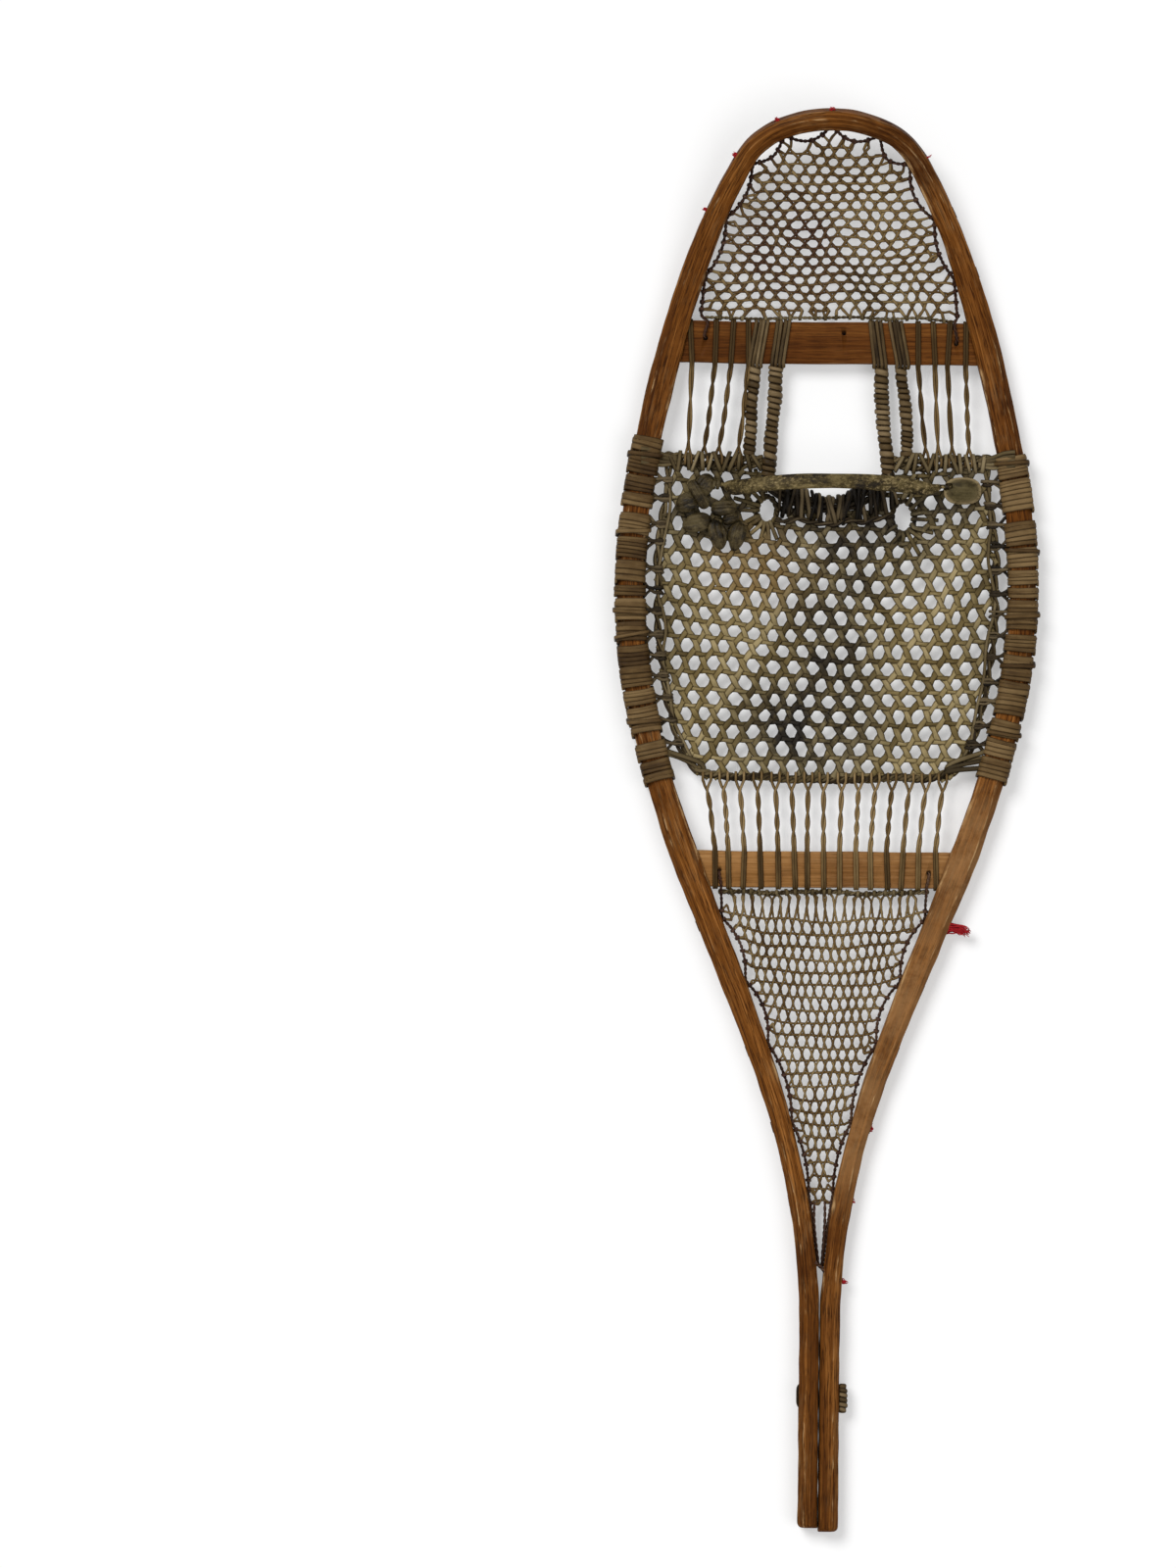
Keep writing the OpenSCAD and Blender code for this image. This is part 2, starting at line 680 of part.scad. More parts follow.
// Over the bar from the web side, down behind it and back below it; web is the side the web lies on
function around_bar(x, y, w, t, web) =
    let (
        off = t / 2 + lace_gap,
        c = 0.8 * off,
        top = web_z + bar_t / 2,
        low = web_z - bar_t / 2,
        e = web * w / 2
    )
    [
        [x, y + e + web * c, top + c], [x, y + e, top + off], [x, y - e, top + off],
        [x, y - e - web * c, top + c], [x, y - e - web * off, top], [x, y - e - web * off, low],
        [x, y - e - web * c, low - c], [x, y - e, low - off], [x, y + e - web * t, low - off],
    ];
climb = 9;

module front_strands_right() {
    color(dark_rawhide)
        for (i = [0:front_strand_count - 1])
            let (x = front_strand_x + i * front_strand_step)
                cord(concat(
                    [[x + 2, front_y + web_inset, web_z], [x, toe_bar_y - toe_bar_w / 2 - climb, web_z]],
                    around_bar(x, toe_bar_y, toe_bar_w, strand_d, -1)
                ), round_section(strand_d));
}

module front_strands_left() {
    mirror([1, 0, 0])
        front_strands_right();
}

module rear_strands() {
    color(dark_rawhide)
        for (i = [0:rear_strand_count - 1])
            let (x = i * rear_strand_step - rear_strand_x)
                cord(concat(
                    [[x, rear_y - web_inset, web_z], [x, heel_bar_y + heel_bar_w / 2 + climb, web_z]],
                    around_bar(x, heel_bar_y, heel_bar_w, strand_d, 1)
                ), round_section(strand_d));
}

// Cords beside the toe hole, flat over the bar and round below it
band_w = 9.6;
band_t = 2.2;
function oval_section(w, t) = [for (i = [0:7]) [w / 2 * cos(45 * i), t / 2 * sin(45 * i)]];
function hole_cord_end(x, y) = [x + toe_cord_lean, y, web_z];
function hole_cord_bend(x) = [x, toe_bar_y - toe_bar_w / 2 - climb, web_z];
inner_end_y = toe_cord_y + wound_r(toe_cord_d) + lace_gap;
outer_end_y = front_y + web_inset;

module hole_cord(x, d, end_y) {
    bar = around_bar(x, toe_bar_y, toe_bar_w, band_t, -1);
    color(dark_rawhide)
        cord(concat([hole_cord_end(x, end_y), hole_cord_bend(x)], bar),
             concat([oval_section(d, d), oval_section(d, d)], [for (p = bar) oval_section(band_w, band_t)]));
}

module toe_hole_cord_inner_right() {
    hole_cord(inner_cord_x, inner_cord_d, inner_end_y);
}

module toe_hole_cord_inner_left() {
    mirror([1, 0, 0])
        toe_hole_cord_inner_right();
}

module toe_hole_cord_outer_right() {
    hole_cord(outer_cord_x, outer_cord_d, outer_end_y);
}

module toe_hole_cord_outer_left() {
    mirror([1, 0, 0])
        toe_hole_cord_outer_right();
}

// Lace wound around a straight cord from a to b, clear of the cord's diameter d
function winding_r(d) = (d / 2 + lace_gap + cord_lace / 2) / cos(180 / winding_steps);
function wound_r(d) = winding_r(d) + cord_lace / 2;
function winding_out(a, b, i) =
    let (axis = unit(b - a), v = unit(cross(axis, [0, 0, 1])), angle = 360 * i / winding_steps)
    cos(angle) * v + sin(angle) * cross(v, axis);

module winding(a, b, d, turns) {
    n = turns * winding_steps;
    outs = [for (i = [0:n]) winding_out(a, b, i)];
    path = [for (i = [0:n]) mix(a, b, i / n) + winding_r(d) * outs[i]];
    width = norm(b - a) / turns - winding_space;
    pitches = [for (i = [0:n - winding_steps]) norm(path[i + winding_steps] - path[i])];
    echo("least gap in winding", min(pitches) - width);
    color(rawhide)
        lace(path, outs, [for (p = path) unit(b - a)], width, cord_lace);
}

module hole_winding(x, d, end_y) {
    a = hole_cord_end(x, end_y);
    b = hole_cord_bend(x);
    room = 0.75 * norm(b - a) / cord_wrap_turns;
    winding(a + room * unit(b - a), b - room * unit(b - a), d, cord_wrap_turns);
}

module toe_hole_wrap_inner_right() {
    hole_winding(inner_cord_x, inner_cord_d, inner_end_y);
}

module toe_hole_wrap_inner_left() {
    mirror([1, 0, 0])
        toe_hole_wrap_inner_right();
}

module toe_hole_wrap_outer_right() {
    hole_winding(outer_cord_x, outer_cord_d, outer_end_y);
}

module toe_hole_wrap_outer_left() {
    mirror([1, 0, 0])
        toe_hole_wrap_outer_right();
}

// Toe cord behind the toe hole and the lace around it

module toe_cord() {
    color(dark_rawhide)
        translate([0, toe_cord_y, web_z])
            rotate([0, 90, 0])
                cylinder(d = toe_cord_d, h = 2 * toe_cord_half, center = true);
}

module toe_cord_wrap() {
    half = toe_cord_half - 0.75 * toe_cord_half / toe_cord_turns;
    winding([-half, toe_cord_y, web_z], [half, toe_cord_y, web_z], toe_cord_d, toe_cord_turns);
}

// Wraps around the frame

wrap_steps = 8;
wrap_start = 5;
wrap_pitch = (at(wrap_to) - at(wrap_from)) / (wrap_count * wrap_turns);
wrap_w = 0.95 * wrap_pitch - wrap_space;
function wrap_s(bundle, i) = at(wrap_from) + (bundle * wrap_turns + i / wrap_steps) * wrap_pitch;
function wrap_frame(s, q) = q.x * out_at(s) + q.y * up_at(bow(s).y);
function wrap_point(s, i) =
    let (
        off = 2 * lace_gap + wrap_t,
        w = stave_w_at(bow(s).y) + off,
        section = stave_section(w, stave_h + off, stave_bevel)
    )
    lift(bow(s)) + wrap_frame(s, section[(i + wrap_start) % wrap_steps]);
function wrap_out(s, i) =
    let (angle = 45 * (i + wrap_start) - 67.5)
    wrap_frame(s, [cos(angle), sin(angle)]);

module frame_wrap_right() {
    n = wrap_turns * wrap_steps - 1;
    color(rawhide)
        for (bundle = [0:wrap_count - 1])
            let (path = [for (i = [0:n]) wrap_point(wrap_s(bundle, i), i)]) {
                if (n > wrap_steps)
                    echo("least gap in wrap",
                         min([for (i = [0:n - wrap_steps]) norm(path[i + wrap_steps] - path[i])]) - wrap_w);
                lace(path, [for (i = [0:n]) wrap_out(wrap_s(bundle, i), i)],
                     [for (i = [0:n]) -along_at(wrap_s(bundle, i))], wrap_w, wrap_t / cos(22.5));
            }
}

module frame_wrap_left() {
    mirror([1, 0, 0])
        frame_wrap_right();
}

// Tail lashing

tail_out = tail_x + stave_w_tail / 2;

module tail_lashing() {
    h = lashing_l / 2;
    r = lashing_d / 2;
    half = [
        [tail_out - lace_gap, h], [0, h], [-tail_out, h],
        [-tail_out - r, h - r / 2], [-tail_out - 1.3 * r, h - 1.6 * r],
    ];
    route = concat(half, [for (p = back_to_front(half)) [p.x, -p.y]]);
    color(rawhide)
        cord([for (p = route) [p.x, lashing_y + p.y, web_z]], round_section(lashing_d));
}

module tail_knot() {
    half = lashing_l * 0.75;
    r = knot_h * 0.75;
    color(rawhide)
        translate([tail_out + lace_gap + r, lashing_y, web_z])
            for (side = [-1, 1])
                rotate([side * 90, 0, 0]) {
                    cylinder(r = r, h = 0.7 * half);
                    translate([0, 0, 0.7 * half])
                        cylinder(r1 = r, r2 = 0.6 * r, h = 0.3 * half);
                }
}

// Toe strap

strap_steps = 20;
function arch(u) = 1 - pow(abs(2 * u - 1), 3);
function strap_point(u) =
    let (z = strap_rise * arch(u))
    [mix(-strap_left, strap_right, u), strap_y + z * tan(strap_lean), pivot_z + z];
function strap_w_at(u) = min(strap_w, pivot_d + (strap_w - pivot_d) * min(u, 1 - u) * 10);

module toe_strap() {
    path = [for (i = [0:strap_steps]) strap_point(i / strap_steps)];
    color(leather)
        union() {
            skin([
                for (i = [0:strap_steps])
                    let (dir = heading(path, i))
                        ring(path[i], dir, cross([0, -1, 0], dir),
                             stave_section(strap_w_at(i / strap_steps), strap_t, strap_t / 5))
            ]);
            for (x = [-strap_left - pivot_l, strap_right - pivot_d / 2])
                translate([x, strap_y, pivot_z])
                    rotate([0, 90, 0])
                        cylinder(d = pivot_d, h = pivot_l + pivot_d / 2);
        }
}

keeper_d = pivot_d + 2 * pivot_gap + 2 * keeper_wall;

module pivot_bore(x, l) {
    translate([x, strap_y, pivot_z])
        rotate([0, 90, 0])
            cylinder(d = pivot_d + 2 * pivot_gap, h = l);
}

// Loop of the lacing that holds the strap's left end
module strap_keeper() {
    l = pivot_l - pivot_d / 2;
    x = -strap_left - pivot_l;
    color(leather)
        difference() {
            union() {
                translate([x, strap_y, pivot_z])
                    rotate([0, 90, 0])
                        cylinder(d = keeper_d, h = l);
                translate([x, strap_y - keeper_d * 0.4, web_top + lace_gap])
                    cube([l, keeper_d * 0.8, keeper_d / 2]);
            }
            pivot_bore(x - 1, l + 2);
        }
}

// Oval tab that the strap's right end goes into
module strap_tab() {
    sides = 20;
    function bulge(v) = sign(v) * pow(abs(v), 0.75);
    color(leather)
        difference() {
            translate([strap_right + strap_t / 2 + lace_gap + tab_l / 2, strap_y - 1, web_top + lace_gap])
                linear_extrude(keeper_d)
                    polygon([
                        for (i = [0:sides - 1])
                            let (a = 360 * i / sides)
                                [tab_l / 2 * bulge(cos(a)), tab_w / 2 * bulge(sin(a))]
                    ]);
            pivot_bore(strap_right - 1, pivot_l + 1 + lace_gap);
        }
}

// Loops of strap laced into the web
module strap_lacing() {
    color(leather)
        for (p = lacing_loops)
            translate([p[0], toe_y - p[1], web_top + lace_gap])
                rotate([90, 0, p[2]])
                    rotate_extrude(angle = 180)
                        translate([loop_d / 2 - strap_t * 0.8, -loop_w / 2])
                            square([strap_t * 0.8, loop_w]);
}
loop_d = 11;
loop_w = 5.5;

// Wool tufts on the lanyard stitches
module tuft(s, l) {
    aim(on_stave(s, stave_w_at(bow(s).y) / 2 + lace_gap), out_at(s))
        cylinder(d1 = tuft_d * 0.6, d2 = tuft_d, h = l);
}

module wool_tufts() {
    color(wool) {
        for (i = toe_tufts)
            tuft(sign(i) * toe_stitches[abs(i)], tuft_l);
        for (i = heel_tufts)
            tuft(at(heel_stitches_at[i]), tuft_l);
        tuft(at(heel_stitches_at[heel_long_tuft]), tuft_long_l);
    }
}

frame();
toe_crossbar();
heel_crossbar();
toe_web();
toe_lanyard();
toe_bar_cord();
heel_web();
heel_lanyard();
heel_bar_cord();
foot_web();
foot_web_front_left();
foot_web_front_right();
front_edge_cord_left();
front_edge_cord_right();
side_edge_cord_left();
side_edge_cord_right();
rear_edge_cord();
toe_cord();
toe_cord_wrap();
toe_hole_cord_outer_left();
toe_hole_cord_inner_left();
toe_hole_cord_inner_right();
toe_hole_cord_outer_right();
toe_hole_wrap_outer_left();
toe_hole_wrap_inner_left();
toe_hole_wrap_inner_right();
toe_hole_wrap_outer_right();
front_strands_left();
front_strands_right();
rear_strands();
frame_wrap_left();
frame_wrap_right();
edge_ties_left();
edge_ties_right();
tail_lashing();
tail_knot();
toe_strap();
strap_keeper();
strap_tab();
strap_lacing();
wool_tufts();
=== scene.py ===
"""Dresses the packed snowshoe: bent ash, rawhide webs and lashings, leather toe strap, wool tufts."""
import math

import bpy
import numpy as np
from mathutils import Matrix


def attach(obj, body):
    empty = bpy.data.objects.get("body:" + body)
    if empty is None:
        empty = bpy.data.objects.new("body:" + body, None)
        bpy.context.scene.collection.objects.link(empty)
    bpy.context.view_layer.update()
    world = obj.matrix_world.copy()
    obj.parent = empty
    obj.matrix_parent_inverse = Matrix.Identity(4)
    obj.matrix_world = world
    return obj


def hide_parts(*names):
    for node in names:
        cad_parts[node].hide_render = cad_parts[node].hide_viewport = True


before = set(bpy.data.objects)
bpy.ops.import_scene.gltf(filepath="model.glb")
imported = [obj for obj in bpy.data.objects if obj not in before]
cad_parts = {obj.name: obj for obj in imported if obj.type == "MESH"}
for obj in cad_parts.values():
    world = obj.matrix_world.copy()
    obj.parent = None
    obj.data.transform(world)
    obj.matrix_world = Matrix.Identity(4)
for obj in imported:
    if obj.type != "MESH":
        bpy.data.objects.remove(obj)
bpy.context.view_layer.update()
rng = np.random.default_rng(11)

# Sizes in mm, as in the part's source: +Y is the toe, +Z the top, t the distance behind the toe tip
MM = 0.001
SHOE_LEN = 1016.0
TOE_Y = SHOE_LEN / 2
HALF_W = 140.75
TAIL_X = 7.5
STAVE_H = 16.0
WEB_Z = 10.1
STAVE_TOP = WEB_Z + STAVE_H / 2
TOE_RISE = 32.0
RISE_LEN = 170.0
BAR_T = 8.0
BAR_TOP = WEB_Z + BAR_T / 2
TOE_BAR_Y, TOE_BAR_W = 343.0, 30.0
HEEL_BAR_Y, HEEL_BAR_W = -34.0, 26.0
FRONT_Y, REAR_Y = 258.0, 31.0
TOE_CORD_Y, TOE_CORD_HALF = 226.5, 42.0
TOE_HOLE_HALF, TOE_HOLE_Y = 47.0, 240.0
STRAP_Y, PIVOT_Z = 241.0, 15.6
STRAP_LEFT, STRAP_RIGHT, STRAP_RISE = 74.0, 81.0, 27.0
LASHING_Y = -411.0
JOINT_Y = -330.0
LANYARD_OFF = -0.8  # from the stave's inner face, where the lanyards are pulled to it
WRAP_EDGE = 1.0  # from the stave's inner face, where laces go into the wraps
TURN = 2 * math.pi
UP = np.array((0.0, 0.0, 1.0))
SIDES = (("left", -1), ("right", 1))
LACE_EDGE = 0.002  # grain coordinate across a lace at its edge, in m
CREASE_DEPTH, CREASE_W = 0.3, 0.12  # shares of half a lace's thickness and width

# Stave centre line: across as a share of half the width, along as a share of the length
BOW = [
    (0, 0.00615), (0.18, 0.0095), (0.34, 0.0195), (0.455, 0.0385), (0.617, 0.085), (0.766, 0.146),
    (0.877, 0.207), (0.961, 0.268), (1, 0.33), (0.972, 0.392), (0.879, 0.453), (0.738, 0.514),
    (0.567, 0.575), (0.387, 0.638), (0.23, 0.7), (0.117, 0.763), (TAIL_X / HALF_W + 0.006, 0.827),
    (TAIL_X / HALF_W, 0.886), (TAIL_X / HALF_W, 1),
]
STAVE_W = [(0, 12.5), (150, 18.5), (477, 18.5), (529, 20.0), (740, 14.0)]  # t, width

# Lanyards: stitches along the stave or at t, and how deep the cord hangs from one to the next
TOE_STITCHES = [0, 37, 72, 115, 160]
TOE_SCALLOPS = [3.8, 4.4, 4.8, 6.0, 6.0, 7.0, 5.2, 4.0]
HEEL_STITCHES_AT = [580, 625, 670, 725, 778]
HEEL_SCALLOPS = [5.0, 5.0, 4.0, 3.0]
TOE_HOLES = [(-88.5, 346.0), (10.6, 350.5), (91.0, 343.5)]
HEEL_HOLES = [(-75.0, -34.5), (75.0, -35.5)]


def unit(v):
    """Vectors with their length set to 1."""
    return v / np.linalg.norm(v, axis=-1, keepdims=True)


def powered(v, power):
    """v with its size raised to a power and its sign kept."""
    return np.sign(v) * np.abs(v) ** power


def points(x, y, z):
    """Points from coordinates, each of them a number or one for each point."""
    return np.stack(np.broadcast_arrays(x, y, z), -1).astype(float)


def on_side(sx, rows):
    """Points of the right side, moved to the side that sx stands for."""
    return np.array(rows, float) * (sx, 1, 1)


def curve(through, steps=8, before=None):
    """Smooth curve through points, with so many steps to a span."""
    p = np.asarray(through, float)
    first = 2 * p[0] - p[1] if before is None else np.asarray(before, float)
    p = np.vstack([first, p, p[-1]])
    t = np.linspace(0, 1, steps, endpoint=False)[:, None]
    spans = [
        (2 * b + (c - a) * t + (2 * a - 5 * b + 4 * c - d) * t**2 + (3 * b - a - 3 * c + d) * t**3) / 2
        for a, b, c, d in zip(p, p[1:], p[2:], p[3:])
    ]
    return np.vstack(spans + [p[-1:]])


def lengths(path):
    """Distance along a path at each of its points."""
    return np.concatenate([[0], np.cumsum(np.linalg.norm(np.diff(path, axis=0), axis=1))])


def at_lengths(at, s, rows):
    """Rows known at the distances s, read at the distances at."""
    return np.stack([np.interp(at, s, column) for column in rows.T], 1)


def resample(path, step):
    """The same path with points about step apart."""
    s = lengths(path)
    return at_lengths(np.linspace(0, s[-1], max(2, int(round(s[-1] / step)) + 1)), s, path)


def headings(path):
    """Direction of a path at each of its points."""
    return unit(np.gradient(path, axis=0))


knots = [(x * HALF_W, TOE_Y - y * SHOE_LEN) for x, y in BOW]
half_path = curve(knots, 24, before=(-knots[1][0], knots[1][1]))
ARC = lengths(half_path)
S_END = ARC[-1]


def bow(s):
    """Stave centre at s along it from the toe tip, + to the right."""
    s = np.asarray(s, float)
    x = np.sign(s) * np.interp(np.abs(s), ARC, half_path[:, 0])
    return np.stack([x, np.interp(np.abs(s), ARC, half_path[:, 1])], -1)


def s_at(t):
    """Distance along the stave at t behind the toe tip."""
    return np.interp(t - TOE_Y, -half_path[:, 1], ARC)


def rise(y):
    """Height of the turned-up toe at y."""
    return TOE_RISE * np.clip((np.asarray(y) - TOE_Y) / RISE_LEN + 1, 0, None) ** 2


def lift(p):
    """Places across and along, set on the middle height of the shoe."""
    return np.concatenate([p, (WEB_Z + rise(p[..., 1]))[..., None]], -1)


def stave_w(y):
    """Width of the stave at y."""
    return np.interp(TOE_Y - np.asarray(y), *zip(*STAVE_W))


def stave_frame(s):
    """Centre of the stave at s, and the directions along, out and up there."""
    s = np.asarray(s, float)
    centre = lift(bow(s))
    along = unit(lift(bow(s + 1)) - lift(bow(s - 1)))
    y = centre[..., 1]
    lean = rise(y - 0.5) - rise(y + 0.5)
    out = unit(np.cross(points(0, lean, 1), along))
    return centre, along, out, np.cross(along, out)


def on_stave(s, out):
    """Point beside the stave's centre; out is counted from the stave's inner (-) or outer (+) face."""
    c, _, o, _ = stave_frame(s)
    half = stave_w(c[..., 1]) / 2
    return c + (np.sign(out) * half + out)[..., None] * o


def inner_x(y):
    """Half the clear width between the staves at y, below the widest part and above it alike."""
    s = np.interp(-np.asarray(y, float), -half_path[:, 1], ARC)
    c, _, o, _ = stave_frame(s)
    return c[..., 0] - stave_w(c[..., 1]) / 2 / o[..., 0]


def drift(x, y, reach, lump, seed):
    """Smooth wandering, up to about reach, over lumps of the given size."""
    r = np.random.default_rng(seed)
    waves, crest, total = 6, 2.4, 0
    for _ in range(waves):
        angle, phase = r.uniform(0, TURN, 2)
        k = TURN / lump * r.uniform(0.6, 1.4)
        total = total + np.sin(k * (x * math.cos(angle) + y * math.sin(angle)) + phase)
    return reach * total / crest


def inside(poly, x, y):
    """True where (x, y) lies in the polygon."""
    px, py = poly[:, 0], poly[:, 1]
    qx, qy = np.roll(px, -1), np.roll(py, -1)
    x, y = np.asarray(x)[..., None], np.asarray(y)[..., None]
    at = px + (y - py) / np.where(qy == py, 1, qy - py) * (qx - px)
    return (((py > y) != (qy > y)) & (x < at)).sum(-1) % 2 == 1


def carried(d):
    """Sideways directions along a path with headings d, carried on without twist."""
    v = np.cross(d[0], UP if abs(d[0][2]) < 0.9 else (0, 1, 0))
    sides = []
    for h in d:
        v = v - (v @ h) * h
        v = v / np.linalg.norm(v)
        sides.append(v)
    return np.array(sides)


class Strands:
    """Closed sweeps gathered into one mesh, with a grain direction and a tone for the material."""

    def __init__(self):
        self.verts, self.faces, self.grain, self.tone, self.count = [], [], [], [], 0

    def skin(self, rings, grain, tone):
        """Skin over rings, an array of (ring, point, xyz), closed at both ends."""
        n, k, _ = rings.shape
        base = self.count
        i = np.arange(k)
        j = np.arange(n - 1)[:, None] * k + base
        nxt = (i + 1) % k
        quads = np.stack([j + i, j + k + i, j + k + nxt, j + nxt], -1).reshape(-1, 4)
        self.faces += quads.tolist()
        self.faces += [(base + i).tolist(), (base + (n - 1) * k + i[::-1]).tolist()]
        self.verts.append(rings.reshape(-1, 3))
        self.grain.append(grain.reshape(-1, 3))
        self.tone.append(np.broadcast_to(tone, (n, k)).reshape(-1))
        self.count += n * k

    def lace(self, path, w, t, up=None, tone=0.5, sides=8, square=0.75, creases=()):
        """Lace of width w and thickness t, numbers or one for each point, whose flat side faces up."""
        path = np.asarray(path, float)
        n = len(path)
        d = headings(path)
        side = carried(d) if up is None else unit(np.cross(d, np.broadcast_to(up, (n, 3))))
        top = np.cross(side, d)
        a = TURN * (np.arange(sides) + 0.5) / sides
        x, y = powered(np.cos(a), square), powered(np.sin(a), square)
        y = y - sum(CREASE_DEPTH * np.exp(-(((x - at) / CREASE_W) ** 2)) for at in creases) * (y > 0)
        w = np.broadcast_to(w, n)[:, None, None] / 2
        t = np.broadcast_to(t, n)[:, None, None] / 2
        rings = path[:, None] + x[:, None] * w * side[:, None] + y[:, None] * t * top[:, None]
        strand = rng.uniform(0, 9)
        self.skin(rings, points((lengths(path) * MM)[:, None], x * LACE_EDGE, strand), tone)

    def rope(self, path, r, off, pitch, plies=2, tone=0.5, sides=6):
        """Plies of radius r twisted around a path, off from it, one turn in each pitch."""
        path = resample(np.asarray(path, float), 1.4)
        d = headings(path)
        side = carried(d)
        top = np.cross(side, d)
        turn = TURN * lengths(path) / pitch
        for i in range(plies):
            a = (turn + TURN * i / plies)[:, None]
            ply = path + off * (np.cos(a) * side + np.sin(a) * top)
            self.lace(ply, 2 * r, 2 * r, tone=tone + rng.uniform(-0.1, 0.1), sides=sides)

    def mesh(self, name):
        """The sweeps as a mesh in m."""
        mesh = bpy.data.meshes.new(name)
        mesh.from_pydata((np.vstack(self.verts) * MM).tolist(), [], self.faces)
        return mesh

    def build(self, name, material, slot, nodes, body="snowshoe"):
        """Makes the piece, which rides on a body and stands for some CAD nodes."""
        mesh = self.mesh(name)
        grain = mesh.attributes.new("grain", "FLOAT_VECTOR", "POINT")
        grain.data.foreach_set("vector", np.vstack(self.grain).astype(np.float32).ravel())
        tone = mesh.attributes.new("tone", "FLOAT", "POINT")
        tone.data.foreach_set("value", np.concatenate(self.tone).astype(np.float32))
        mesh.polygons.foreach_set("use_smooth", [True] * len(mesh.polygons))
        mesh.validate()
        obj = bpy.data.objects.new(name, mesh)
        bpy.context.scene.collection.objects.link(obj)
        mesh.materials.append(material)
        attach(obj, body)
        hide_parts(*nodes)
        return obj


# Materials


class Shader:
    """A node material with one principled shader, built from small steps."""

    def __init__(self, name, roughness=0.5):
        self.material = bpy.data.materials.new(name)
        self.material.use_nodes = True
        self.tree = self.material.node_tree
        self.surface = self.tree.nodes["Principled BSDF"]
        self.surface.inputs["Roughness"].default_value = roughness

    def put(self, socket, value):
        """Links a socket to another one, or sets it to a value."""
        if isinstance(value, bpy.types.NodeSocket):
            self.tree.links.new(value, socket)
        else:
            socket.default_value = value

    def attribute(self, name, output):
        """An attribute of the mesh: grain as Vector or tone as Fac."""
        node = self.tree.nodes.new("ShaderNodeAttribute")
        node.attribute_name = name
        return node.outputs[output]

    def place(self):
        """Place in the object, in m."""
        return self.tree.nodes.new("ShaderNodeTexCoord").outputs["Object"]

    def noise(self, vector, lumps, detail=4.0, rough=0.6):
        """Noise with so many lumps to a metre, one number or one for each axis of vector."""
        mapping = self.tree.nodes.new("ShaderNodeMapping")
        self.put(mapping.inputs["Vector"], vector)
        mapping.inputs["Scale"].default_value = np.broadcast_to(lumps, 3).tolist()
        node = self.tree.nodes.new("ShaderNodeTexNoise")
        self.put(node.inputs["Vector"], mapping.outputs["Vector"])
        node.inputs["Scale"].default_value = 1.0
        node.inputs["Detail"].default_value = detail
        node.inputs["Roughness"].default_value = rough
        return node.outputs["Fac"]

    def math(self, kind, a, b=0.0):
        """Arithmetic of one kind on two values."""
        node = self.tree.nodes.new("ShaderNodeMath")
        node.operation = kind
        self.put(node.inputs[0], a)
        self.put(node.inputs[1], b)
        return node.outputs[0]

    def blend(self, *parts):
        """Sum of values, each with its share."""
        total, *others = [self.math("MULTIPLY", value, share) for value, share in parts]
        for value in others:
            total = self.math("ADD", total, value)
        return total

    def span(self, value, low, high, to_low=0.0, to_high=1.0):
        """Value from low to high, eased to to_low to to_high."""
        node = self.tree.nodes.new("ShaderNodeMapRange")
        node.interpolation_type = "SMOOTHSTEP"
        for socket, v in zip(node.inputs, (value, low, high, to_low, to_high)):
            self.put(socket, v)
        return node.outputs[0]

    def ramp(self, value, *stops):
        """Colour for a value, from stops of a value and its colour."""
        node = self.tree.nodes.new("ShaderNodeValToRGB")
        self.put(node.inputs[0], value)
        elements = node.color_ramp.elements
        while len(elements) < len(stops):
            elements.new(0.5)
        for element, (at, colour) in zip(elements, stops):
            element.position = at
            element.color = (*colour, 1)
        return node.outputs[0]

    def mix(self, share, a, b, kind="MIX"):
        """Colour a with a share of colour b."""
        node = self.tree.nodes.new("ShaderNodeMix")
        node.data_type = "RGBA"
        node.blend_type = kind
        for socket, v in zip((node.inputs[0], node.inputs[6], node.inputs[7]), (share, a, b)):
            self.put(socket, (*v, 1) if isinstance(v, tuple) else v)
        return node.outputs[2]

    def spot(self, centre, radii):
        """1 at a place in the object, falling to 0 at the given radii, in mm."""
        mapping = self.tree.nodes.new("ShaderNodeMapping")
        mapping.vector_type = "TEXTURE"
        self.put(mapping.inputs["Vector"], self.place())
        mapping.inputs["Location"].default_value = [v * MM for v in centre]
        mapping.inputs["Scale"].default_value = [v * MM for v in radii]
        node = self.tree.nodes.new("ShaderNodeVectorMath")
        node.operation = "LENGTH"
        self.put(node.inputs[0], mapping.outputs["Vector"])
        return self.span(node.outputs["Value"], 1.0, 0.25)

    def stain(self, colour, stains):
        """Colour with uneven stains on it, each a centre and radii in mm, a tint and a share."""
        for centre, radii, tint, share in stains:
            uneven = self.span(self.noise(self.place(), 42, 5, 0.7), 0.28, 0.6, 0.2, 1.0)
            reach = self.math("MULTIPLY", self.spot(centre, radii), uneven)
            colour = self.mix(self.math("MULTIPLY", reach, share), colour, tint)
        return colour

    def across(self):
        """How far a place is from the middle line of its lace, 1 at the lace's edge."""
        node = self.tree.nodes.new("ShaderNodeSeparateXYZ")
        self.put(node.inputs[0], self.attribute("grain", "Vector"))
        return self.math("DIVIDE", self.math("ABSOLUTE", node.outputs[1]), LACE_EDGE)

    def finish(self, colour, bump, height, roughness=None, sheen=0.07):
        """The material, with a bump of the given strength over the surface."""
        self.put(self.surface.inputs["Base Color"], colour)
        self.surface.inputs["Specular IOR Level"].default_value = sheen
        if roughness is not None:
            self.put(self.surface.inputs["Roughness"], roughness)
        node = self.tree.nodes.new("ShaderNodeBump")
        node.inputs["Strength"].default_value = height
        node.inputs["Distance"].default_value = 0.0006
        self.put(node.inputs["Height"], bump)
        self.put(self.surface.inputs["Normal"], node.outputs["Normal"])
        return self.material


